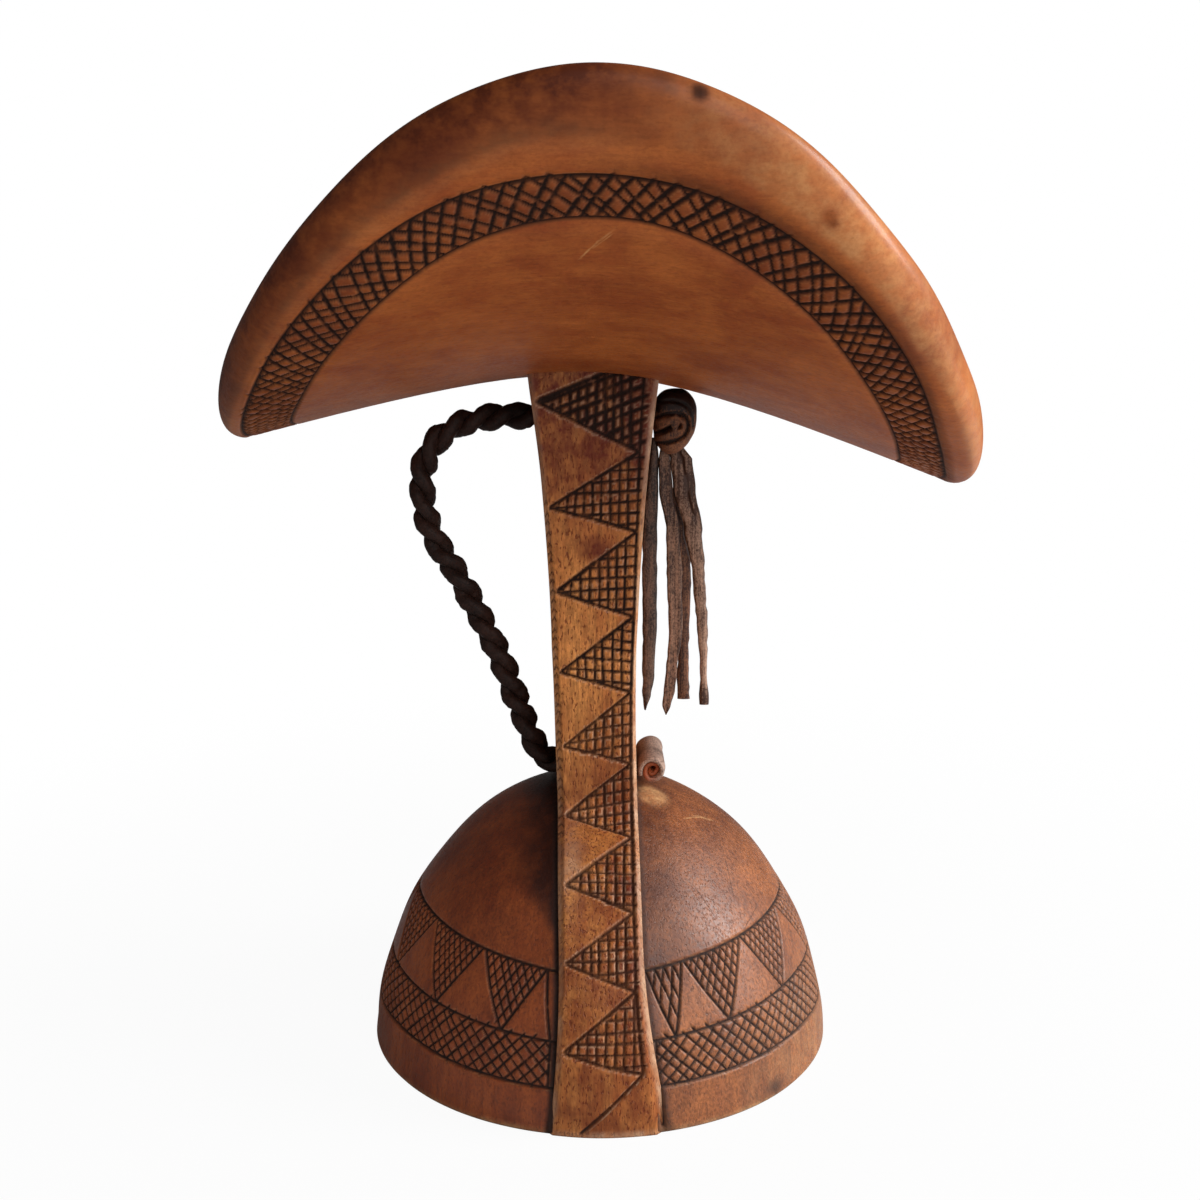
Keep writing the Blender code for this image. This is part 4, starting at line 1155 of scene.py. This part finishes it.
        # The rim is painted darker on the left as shade and lighter on the right as light
        left = smooth(0.03, -0.045, x)
        right = smooth(-0.010, 0.018, x)
        centre = np.exp(-(((x + 0.010) / 0.018) ** 2))
        rim = smooth(0.03 + 0.01 * left, 0.10 + 0.01 * left, lift)
        # Top of the rim: darker partly from handling, partly as painted shade where it curves away
        outer = smooth(0.2, 0.7, lift)
        # Painted shade under the pillow round the stem's neck
        shade_under_neck = smooth(0.1, 0.0, lift) * np.exp(-((x / 0.045) ** 2 + (y / 0.045) ** 2))
        handled_and_shaded = 0.28 - 0.18 * right + 0.24 * left + 0.32 * centre + (0.28 - 0.14 * right) * outer
        stain_and_shade = rim * handled_and_shaded + 0.06 + 0.26 * shade_under_neck
        stain_and_shade = np.maximum(stain_and_shade, 0.40 * band)
        # Pale strip beside the band on the left: partly rubbing, partly painted sheen
        strip = smooth(0.0, 0.02, lift) * smooth(0.25, 0.06, lift) * (1 - right)
        # Painted light along the right of the rim, in the pale colour
        rubbed = 0.44 * smooth(-0.002, 0.036, x) - 0.12 * smooth(0.042, 0.056, x)
        wear_and_highlight = np.maximum(0.10 * strip, rim * (1 - 0.3 * outer) * rubbed)
        around = np.linspace(0, 2 * math.pi, 1401)
        angle, reach = np.arctan2(plan_y, plan_x) % (2 * math.pi), np.hypot(plan_x, plan_y)
        crease = np.hypot(*pillow_plan(self.border(around, self.OUTER), around))
        beyond = reach - np.interp(angle, around, crease)
        outline = np.interp(angle, around, np.hypot(*pillow_plan(1.0, around)))
        stain_and_shade = stain_and_shade * (1 - 0.5 * smooth(0.7, 0.95, lift) * smooth(0.95, 0.80, reach / outline))
        # Painted shade in the crease outside the band on the right
        line = smooth(0.0, 0.0004, beyond) * smooth(0.0028, 0.0010, beyond)
        dirt_and_shade = 0.50 * right * line * smooth(0.3, 0.2, lift)
        for place, radius, strength in self.BLOTCHES:
            stain_and_shade = stain_and_shade + strength * np.exp(-((points - np.array(place)) ** 2).sum(axis=1) / radius**2)
        for place, radius, strength in self.SPOTS:
            spot = np.exp(-((((points - np.array(place)) ** 2).sum(axis=1) / radius**2) ** 2))
            dirt_and_shade = np.maximum(dirt_and_shade, strength * spot)
            wear_and_highlight = wear_and_highlight * (1 - spot)
        return stain_and_shade, wear_and_highlight, dirt_and_shade


class HEADREST_OT_stem(bpy.types.Operator):
    """Build the stem with its carved zigzag of hatched triangles"""

    bl_idname = "headrest.stem"
    bl_label = "Stem"

    # Heights of the zigzag's left tips and right corners, slope in degrees and boldness of each triangle's hatching
    TIPS = (0.13426, 0.11405, 0.09758, 0.08155, 0.06634, 0.05270, 0.04310, 0.03110, 0.01632)
    CORNERS = (0.12485, 0.10939, 0.09259, 0.07752, 0.06283, 0.04978, 0.03902, 0.02664, 0.01229)
    SLOPES = (22, 4, 2, -7, 9, 8, -3, 4, 2)
    BOLD = (1.5, 1.0, 1.0, 0.92, 0.84, 0.82, 0.82, 0.82, 0.82)
    # Height and breadth of the left and right bevelled edges, and of the margin at the right of the zigzag
    LEFT_EDGE = ((0.0, 0.03, 0.055, 0.105, 0.125, 0.14), (0.0009, 0.0010, 0.0014, 0.0012, 0.0007, 0.0006))
    RIGHT_EDGE = (
        (0.0, 0.012, 0.03, 0.05, 0.07, 0.09, 0.11, 0.14),
        (0.0026, 0.0018, 0.0010, 0.0008, 0.0007, 0.0005, 0.0008, 0.0012),
    )
    MARGIN = (
        (0.0, 0.03, 0.055, 0.075, 0.095, 0.11, 0.125, 0.14),
        (0.0033, 0.0018, 0.0012, 0.0010, 0.0008, 0.0012, 0.0021, 0.0026),
    )
    # Columns of points over a face, a side and an edge
    FACE, SIDE, EDGE = 60, 26, 5

    def eased(self, level, table):
        """A breadth at heights, rounded where its slope changes."""
        step = 0.004 * np.linspace(-1, 1, 9)
        return np.mean([np.interp(np.asarray(level, float) + d, *table) for d in step], axis=0)

    def execute(self, context):
        w = wood()
        z = np.linspace(0.0, STEM_TOP, 4000)
        run = np.concatenate([[0], np.cumsum(np.hypot(np.diff(z), np.diff(stem_half_depth(z))))])
        rows = int(run[-1] / 0.00031)
        spots = np.linspace(0, run[-1], rows)
        height = np.interp(spots, run, z)
        left, right = (side[:, None] for side in stem_edges(height))
        depth = stem_half_depth(height)[:, None]
        cut_left = self.eased(height, self.LEFT_EDGE)[:, None]
        cut_right = self.eased(height, self.RIGHT_EDGE)[:, None]

        u = np.linspace(0, 1, self.FACE)[None, :]
        e = np.linspace(0, 1, self.EDGE + 2)[None, 1:-1]
        breadth = right - left - cut_left - cut_right
        front = (left + cut_left + u * breadth, -depth + 0 * u)
        edge_r = (right - cut_right * (1 - e), -depth + cut_right * e)
        side_y = self.side_places(depth, cut_right)
        side_r = (right + 0 * side_y, side_y)
        edge_rb = (right - cut_right * e, depth - cut_right * (1 - e))
        back = (right - cut_right - u * breadth, depth + 0 * u)
        edge_lb = (left + cut_left * (1 - e), depth - cut_left * e)
        side_y = self.side_places(depth, cut_left)[:, ::-1]
        side_l = (left + 0 * side_y, side_y)
        edge_l = (left + cut_left * e, -depth + cut_left * (1 - e))
        ring = [front, edge_r, side_r, edge_rb, back, edge_lb, side_l, edge_l]
        x = np.concatenate([part[0] for part in ring], axis=1)
        y = np.concatenate([part[1] for part in ring], axis=1)
        columns = x.shape[1]
        rounding = w.foot_radius - np.sqrt(w.foot_radius**2 - x**2)
        y = y - np.sign(y) * rounding * smooth(0.06, 0.015, height)[:, None] * (np.abs(y) / depth) ** 8
        points = np.stack([x, y, height[:, None] + 0 * x], axis=-1)

        carved, dark, rub_and_highlight = np.zeros(x.shape), np.zeros(x.shape), np.zeros(x.shape)
        place = lambda level: np.interp(level, height, spots)
        for first, mirror, seed in ((0, 1, 5), (self.FACE + 2 * self.EDGE + self.SIDE, -1, 6)):
            section = slice(first, first + self.FACE)
            carving = Carving(mirror * x[:, section], spots[:, None])
            self.triangles(carving, np.random.default_rng(seed), place, mirror)
            carved[:, section], dark[:, section], rub_and_highlight[:, section] = carving.depth, carving.dark, carving.rubbed()
        edge = slice(columns - self.EDGE, columns)
        carving = Carving(np.linspace(0.0, 0.0018, self.EDGE)[None, :], spots[:, None])
        rng = np.random.default_rng(8)
        for level in np.arange(place(0.050), place(0.116), 0.0019):
            level += rng.normal(0, 0.0002)
            carving.stroke((-0.0002, level), (0.0010, level + 0.0010), 0.0006, 0.0003)
            carving.stroke((0.0019, level + 0.0003), (0.0009, level + 0.0010), 0.0005, 0.0003)
        carved[:, edge], dark[:, edge] = carving.depth, carving.dark * 0.8

        normals = surface_normals(points, True)
        normals *= np.sign((normals[..., :2] * points[..., :2]).sum(axis=2, keepdims=True).mean())
        face = smooth(0.6, 0.9, np.abs(normals[..., 1]))
        points = points - normals * (carved - self.tooling(points) * face)[..., None]
        dark = dark * (1 - 0.14 * smooth(0.084, 0.066, points[..., 2]))
        for side, first in ((1, self.FACE + self.EDGE), (-1, 2 * self.FACE + 3 * self.EDGE + self.SIDE)):
            for bore in (UPPER_BORE, LOWER_BORE):
                section = slice(first, first + self.SIDE)
                near = np.hypot(points[:, section, 1], points[:, section, 2] - bore)
                hollow = smooth(BORE_RADIUS + 0.0005, BORE_RADIUS - 0.0003, near)
                points[:, section, 0] -= side * 0.004 * hollow
                # Painted shade inside the bores
                dark[:, section] = np.maximum(dark[:, section], hollow)

        faces = tube_faces(rows, columns)
        stain_and_shade, wear_and_highlight = self.marks(points)
        # Pale edges of the cuts: rubbing with painted highlight
        wear_and_highlight = np.maximum(wear_and_highlight, (0.36 + 0.14 * smooth(0.096, 0.072, points[..., 2])) * rub_and_highlight)
        traits = {"Pores": 1.0, "Fibre": 1.0, "Cracks": 0.0, "Mottle": 0.2, "Blotch": 0.7, "Grain": 0.3}
        material = wood_material(
            "stem wood", w.stem_light, w.stem_deep, (0.0, 0.0, 0.07), traits, gloss=0.22, bump=0.9,
            stain_and_shade=w.stem_stain_and_shade, worn_and_highlight=w.stem_highlight_and_worn,
        )
        obj = add_piece("stem", points.reshape(-1, 3), faces, material, {"groove": dark, "stain_and_shade": stain_and_shade, "wear_and_highlight": wear_and_highlight})
        finish_wood(obj)
        return {"FINISHED"}

    def side_places(self, depth, cut):
        """Places of a side's columns from front to back, close together round the bores."""
        core = np.linspace(-0.0046, 0.0046, self.SIDE - 8)
        outer = np.array([0.0, 0.25, 0.5, 0.75])[None, :]
        front, back = -depth + cut, depth - cut
        before = front + (core[0] - front) * outer
        behind = core[-1] + (back - core[-1]) * (outer + 0.25)
        return np.concatenate([before, 0 * depth + core[None, :], behind], axis=1)

    def tooling(self, points):
        """Slow unevenness of the faces."""
        x, z = points[..., 0], points[..., 2]
        return 0.00010 * np.sin(z * 260 + x * 130) + 0.00006 * np.sin(z * 610 - x * 300 + 1.0)

    def triangles(self, carving, rng, place, mirror):
        """Zigzag lines with every second triangle cross-hatched."""
        cut = wood().cut_depth
        left_side, right_side = (0, 1) if mirror > 0 else (1, 0)
        bevel = self.LEFT_EDGE if mirror > 0 else self.RIGHT_EDGE

        def inset_left(level):
            edge = mirror * float(stem_edges(level)[left_side]) + float(self.eased(level, bevel))
            return edge + (0.0005 if level > 0.13 else 0.0002)

        def inset_right(level):
            return mirror * float(stem_edges(level)[right_side]) - float(self.eased(level, self.MARGIN))

        for number, (tip_z, low_z) in enumerate(zip(self.TIPS, self.CORNERS)):
            tip = (inset_left(tip_z), place(tip_z))
            low = (inset_right(low_z), place(low_z))
            if number == 0:
                high = (inset_right(0.138), tip[1] + (inset_right(0.138) - tip[0]) * 0.43)
            else:
                high_z = self.CORNERS[number - 1]
                high = (inset_right(high_z), place(high_z))
            bold = self.BOLD[number]
            carving.bent(rng, tip, high, 0.00125 * bold, cut * 1.1)
            carving.bent(rng, tip, low, 0.00125 * min(bold, 1.0), cut * 1.1)
            carving.bent(rng, high, low, 0.00110, cut, 0.00005)
            reach = low[0] - tip[0]
            share = lambda x: (x - tip[0]) / reach
            upper = lambda x: tip[1] + (high[1] - tip[1]) * share(x)
            lower = lambda x: tip[1] + (low[1] - tip[1]) * share(x)
            x = low[0] - 0.00175
            while upper(x) - lower(x) > 0.0012:
                lean = rng.normal(0, 0.00012)
                start = (x + lean, upper(x) + rng.uniform(-0.0003, 0.0003))
                end = (x - lean, lower(x) - rng.uniform(-0.0003, 0.0004))
                carving.bent(rng, start, end, 0.00106 * bold, cut, 0.00007)
                x -= 0.00170 + rng.normal(0, 0.00012)
            slope = math.tan(math.radians(self.SLOPES[number]))
            level = low[1] + 0.0016
            while level < high[1] - 0.0008:
                lean = slope + rng.normal(0, 0.025)
                far = low[0] + rng.uniform(0.0007, 0.0017)
                line = lambda x: level + (x - low[0]) * lean
                spots = np.linspace(tip[0], low[0], 90)
                inner = [x for x in spots if lower(x) - 0.0002 < line(x) < upper(x) + 0.0002]
                if inner:
                    near = inner[0] - rng.uniform(-0.0002, 0.0004)
                    carving.bent(rng, (near, line(near)), (far, line(far)), 0.00106 * bold, cut, 0.00008)
                level += 0.0021 + rng.normal(0, 0.00012)
        end = (inset_left(0.001) + 0.0048, place(0.0008))
        carving.bent(rng, (inset_right(0.0123), place(0.0123)), end, 0.0011, cut)

    def marks(self, points):
        """Painted shadow under the pillow at the top, darkening towards the foot, a knot in the wood and rubbed edges,
        the right one paler.
        """
        x, y, z = points[..., 0], points[..., 1], points[..., 2]
        # Painted shadow under the pillow at the top; darker towards the foot below
        stain_and_shade = 0.74 * smooth(0.100, 0.132, z) + 0.52 * smooth(0.086, 0.042, z)
        stain_and_shade = stain_and_shade + 0.16 * smooth(0.080, 0.062, z) * smooth(0.020, 0.040, z)
        stain_and_shade = stain_and_shade + 0.12 * smooth(0.062, 0.075, z) + 0.04
        knot = np.exp(-((((x + 0.0011) / 0.0040) ** 2 + ((z - 0.1062) / 0.0030) ** 2) ** 2)) * (y < 0)
        stain_and_shade = np.maximum(stain_and_shade, 0.85 * knot)
        left, right = stem_edges(z)
        edge = np.minimum(x - left, right - x)
        wear_and_highlight = np.where(right - x < x - left, 0.62, 0.3) * smooth(0.0014, 0.0002, edge) * (np.abs(y) > 0.01)
        torn = np.exp(-(((x + 0.0055) / 0.0022) ** 2 + ((z - 0.046) / 0.006) ** 2)) * (y < 0)
        wear_and_highlight = np.maximum(wear_and_highlight, 0.5 * smooth(0.0018, 0.0004, z) * (np.abs(y) > 0.03))
        return stain_and_shade, np.maximum(wear_and_highlight, 0.3 * torn)


class HEADREST_OT_foot(bpy.types.Operator):
    """Build the two halves of the domed foot with their carved bands"""

    bl_idname = "headrest.foot"
    bl_label = "Foot"

    # Degrees from the front: top corners and apex of the hatched triangles
    LEFT = (
        (14.6, 34.2, 24.9), (35.2, 58.0, 46.1), (58.6, 81.6, 70.1), (82.4, 104, 93.5),
        (104.8, 126, 115.5), (126.8, 146, 136.5), (146.8, 165, 156),
    )
    RIGHT = (
        (12.5, 22.9, 18.5), (23.7, 44.0, 33.7), (44.6, 67.5, 55.7), (68.6, 91, 79),
        (91.8, 113, 102.5), (113.8, 134, 124), (134.8, 152, 143.5), (152.8, 167, 160),
    )
    # Pale scratches and dark splits of the right half, and the point their slices run to
    SCRATCHES = (
        ((0.0184, -0.0101, 0.0496), (0.0237, -0.0070, 0.0471), 0.0009),
        ((0.0165, -0.0125, 0.0495), (0.0215, -0.0080, 0.0482), 0.0006),
    )
    SPLITS = (
        ((0.0244, -0.0122, 0.0450), (0.0266, -0.0237, 0.0359), 0.00026),
        ((0.0322, -0.0176, 0.0344), (0.0274, -0.0274, 0.0311), 0.00026),
        ((0.0176, -0.0253, 0.0417), (0.0230, -0.0290, 0.0340), 0.00024),
    )
    HUB = (0.0, 0.0, 0.0)
    # Radius at which the dome is laid out flat for carving
    FLAT = 0.0435

    def execute(self, context):
        w = wood()
        traits = {"Pores": 0.4, "Fibre": 0.35, "Cracks": 0.25, "Mottle": 0.35, "Blotch": 0.45}
        # Lit and shaded copies of one wood: the left half painted darker as shade, the right half lighter as light
        left = wood_material(
            "foot left shaded wood", w.foot_left_shaded_light, w.foot_left_shaded_deep, self.HUB,
            traits | {"Grain": 0.35, "Blotch": 0.25}, gloss=0.4, bump=0.6,
        )
        right = wood_material(
            "foot right lit wood", w.foot_right_lit_light, w.foot_right_lit_deep, self.HUB,
            traits | {"Grain": 0.55}, gloss=0.52, bump=0.9, scratches=self.SCRATCHES, splits=self.SPLITS,
        )
        self.half("foot_left", -1, self.LEFT, 21, left)
        self.half("foot_right", 1, self.RIGHT, 22, right)
        return {"FINISHED"}

    def half(self, name, side, triangles, seed, material):
        """One half of the dome, closed below and against the stem."""
        w = wood()
        z = w.foot_height * (1 - np.linspace(0.0005, 1, 6000) ** 1.3)
        z[-1] = 0.0
        radius = foot_reach(z)
        run = np.concatenate([[0], np.cumsum(np.hypot(np.diff(z), np.diff(radius)))])
        place = lambda level: np.interp(-np.asarray(level, float), -z, run)
        top, bottom = float(place(0.0335)), float(place(0.0075))
        crown, carved = np.linspace(run[0], top, 32)[:-1], np.linspace(top, bottom, 108)[:-1]
        spots = np.concatenate([crown, carved, np.linspace(bottom, run[-1] - 0.0006, 13), [run[-1]]])
        level = np.interp(spots, run, z)
        reach = np.interp(spots, run, radius)
        reach[-1] -= 0.0005
        columns = 620
        theta = np.linspace(0, math.pi, columns)
        circle = lambda r, height: np.stack([side * r * np.sin(theta), -r * np.cos(theta), height + 0 * theta], axis=-1)
        points = circle(reach[:, None], level[:, None])

        carving = Carving(theta[None, :] * self.FLAT, -spots[:, None])
        self.bands(carving, np.random.default_rng(seed), place, theta, triangles, side)
        normals = surface_normals(points, False)
        normals *= np.sign((normals * (points - np.array([0, 0, 0.01]))).sum(axis=2).mean())
        y, up = points[..., 1], points[..., 2]
        unevenness = 0.00014 * (np.sin(up * 300 + y * 110 + side) + np.sin(y * 260 - up * 90)) * smooth(0.0, 0.004, up)
        ends = (smooth(0.0, 0.1, theta) * smooth(math.pi, math.pi - 0.1, theta))[None, :]
        points = points - normals * ((carving.depth - unevenness) * ends)[..., None]

        rows = len(spots)
        under = np.stack([circle(r, 0.0) for r in (reach[-1] * 0.96, reach[-1] * 0.5, 0.0006)])
        points = np.concatenate([points, under])
        total = len(points)
        faces = grid_faces(total, columns, False)
        faces += [list(range(columns)), list(range((total - 1) * columns, total * columns))]
        faces.append([r * columns for r in range(total)] + [r * columns + columns - 1 for r in reversed(range(total))])
        dark = np.concatenate([carving.dark * ends, np.zeros((total - rows, columns))])
        # Painted shade in the crease where the foot meets the stem, stronger on the left
        crevice = np.abs(points[..., 0]) - np.abs(stem_edges(points[..., 2])[0 if side < 0 else 1])
        dark = np.maximum(dark, (0.95 if side < 0 else 0.6) * smooth(0.0013, 0.0003, crevice))
        stain_and_shade, wear_and_highlight = self.marks(points, side)
        # Pale edges of the cuts: rubbing with painted highlight
        wear_and_highlight[:rows] = np.maximum(wear_and_highlight[:rows], 0.26 * carving.rubbed() * ends)
        obj = add_piece(name, points.reshape(-1, 3), faces, material, {"groove": dark, "stain_and_shade": stain_and_shade, "wear_and_highlight": wear_and_highlight})
        finish_wood(obj)

    def bands(self, carving, rng, place, theta, triangles, side):
        """Three border lines, hatched triangles above and a lattice below."""
        cut = wood().cut_depth
        flat = self.FLAT
        rise = lambda angle: np.abs(np.sin(angle))
        upper = lambda angle: 0.0282 + 0.0041 * rise(angle)
        middle = lambda angle: 0.0166 + 0.0031 * rise(angle)
        lower = lambda angle: 0.0086 + 0.0017 * rise(angle)
        for line in (upper, middle, lower):
            carving.ring(-place(line(theta))[None, :], 0.00092, cut * 1.1)
        at = lambda angle, line: (angle * flat, -float(place(line(angle))))
        for left, right, apex in triangles:
            left, right, apex = (math.radians(v) for v in (left, right, apex))
            a, b, c = at(left, upper), at(right, upper), at(apex, middle)
            carving.bent(rng, a, c, 0.00092, cut)
            carving.bent(rng, b, c, 0.00092, cut)
            count = max(3, int((b[0] - a[0]) / 0.00185))
            for k in range(1, count):
                share = k / count
                start = (a[0] + (b[0] - a[0]) * share, a[1] + (b[1] - a[1]) * share)
                for corner, part in ((b, share), (a, 1 - share)):
                    end = [p + (q - p) * (1 - part) for p, q in zip(corner, c)]
                    over = rng.uniform(-0.02, 0.05)
                    end = (end[0] + (end[0] - start[0]) * over, end[1] + (end[1] - start[1]) * over)
                    carving.bent(rng, start, end, 0.00074, cut, 0.00010)
        first = math.radians(12.0 if side < 0 else 13.5)
        if side < 0:
            carving.bent(rng, at(math.radians(14.4), upper), at(math.radians(12.1), middle), 0.0009, cut)
        carving.bent(rng, at(first, middle), at(first, lower), 0.0009, cut)
        border = first * flat
        spot = border - 0.0095
        last = math.radians(167) * flat
        while spot < last:
            angle = max(spot, border) / flat
            base = at(angle, lower)[1]
            tall = at(angle, middle)[1] - base
            for sign in (-1, 1):
                lean = math.tan(math.radians(47 + rng.normal(0, 1.0)))
                low = -rng.choice([0.0, 0.0, 0.0, 0.0004])
                high = tall + rng.choice([0.0, 0.0, 0.0003])
                near, far = sorted((spot + sign * rise / lean, base + rise) for rise in (low, high))
                if far[0] > border + 0.0004:
                    if near[0] < border:
                        near = (border, near[1] + (far[1] - near[1]) * (border - near[0]) / (far[0] - near[0]))
                    carving.bent(rng, near, far, 0.00076, cut, 0.00010)
            spot += 0.00255 + rng.normal(0, 0.00006)
        if side > 0:
            start = (math.radians(13.6) * flat, -float(place(0.0084)))
            end = (math.radians(14.4) * flat, -float(place(0.0012)))
            carving.stroke(start, end, 0.0013, cut * 1.6)

    def marks(self, points, side):
        """Painted shade, partly real darkening of the wood, beside the stem and over the left half, stains on the
        shoulder, a scorch and rubbed edges.
        """
        x, y, z = points[..., 0], points[..., 1], points[..., 2]
        edges = stem_edges(z)
        beside = np.abs(x) - np.abs(edges[0] if side < 0 else edges[1])
        near = np.maximum(beside, 0)
        # Painted shade, partly real darkening, beside the stem: deeper and wider on the left, the shaded side
        deep, breadth, low, high = (1.15, 0.0085, 0.034, 0.044) if side < 0 else (0.62, 0.0080, 0.025, 0.032)
        above = smooth(low, high, z)
        stain_and_shade = deep * np.exp(-((near / (0.0014 + breadth * above)) ** 2)) * smooth(0.002, 0.012, z)
        shoulder = 0.26 * smooth(0.030, 0.046, z)
        # The left half also gets painted shade that deepens towards the stem
        stain_and_shade = np.maximum(np.maximum(stain_and_shade, shoulder), 0.12 + 0.16 * smooth(-0.036, -0.014, x) if side < 0 else 0.06)
        wear_and_highlight = 0.55 * smooth(0.0016, 0.0003, z) * (np.hypot(x, y) > 0.046)
        if side > 0:
            angle = np.arctan2(x, -y)
            scorch = np.exp(-(((angle - math.radians(46)) / 0.05) ** 2 + ((z - 0.0022) / 0.0016) ** 2))
            stain_and_shade = np.maximum(stain_and_shade, 1.2 * scorch)
            wear_and_highlight = np.maximum(wear_and_highlight, 0.20 * smooth(0.026, 0.008, z) * smooth(0.020, 0.040, x))
            torn = np.exp(-((((x - 0.0106) / 0.0030) ** 2 + ((y + 0.0078) / 0.0034) ** 2) ** 2))
            wear_and_highlight = np.maximum(wear_and_highlight, 0.9 * torn)
            stain_and_shade = stain_and_shade * (1 - torn)
        return stain_and_shade, wear_and_highlight


class HEADREST_PT_panel(bpy.types.Panel):
    """Sizes, colours and build steps of the headrest"""

    bl_idname = "HEADREST_PT_panel"
    bl_label = "Headrest"
    bl_space_type = "VIEW_3D"
    bl_region_type = "UI"
    bl_category = "Headrest"

    def draw(self, context):
        for group in (context.scene.headrest_stage, context.scene.headrest_wood, context.scene.headrest_leather):
            box = self.layout.box()
            for key in group.__annotations__:
                box.prop(group, key)
        for step in STEPS:
            self.layout.operator(step.bl_idname)


GROUPS = (HeadrestWood, HeadrestLeather, HeadrestStage)
STEPS = (
    HEADREST_OT_stage, HEADREST_OT_strap, HEADREST_OT_thongs, HEADREST_OT_knot,
    HEADREST_OT_toggle, HEADREST_OT_pillow, HEADREST_OT_stem, HEADREST_OT_foot,
)


def register():
    for kind in (*GROUPS, *STEPS, HEADREST_PT_panel):
        bpy.utils.register_class(kind)
    bpy.types.Scene.headrest_wood = PointerProperty(type=HeadrestWood)
    bpy.types.Scene.headrest_leather = PointerProperty(type=HeadrestLeather)
    bpy.types.Scene.headrest_stage = PointerProperty(type=HeadrestStage)


def unregister():
    del bpy.types.Scene.headrest_stage
    del bpy.types.Scene.headrest_leather
    del bpy.types.Scene.headrest_wood
    for kind in reversed((*GROUPS, *STEPS, HEADREST_PT_panel)):
        bpy.utils.unregister_class(kind)


def main():
    register()
    bpy.ops.headrest.stage()
    bpy.ops.headrest.strap()
    bpy.ops.headrest.thongs()
    bpy.ops.headrest.knot()
    bpy.ops.headrest.toggle()
    bpy.ops.headrest.pillow()
    bpy.ops.headrest.stem()
    bpy.ops.headrest.foot()


if __name__ == "__main__":
    main()
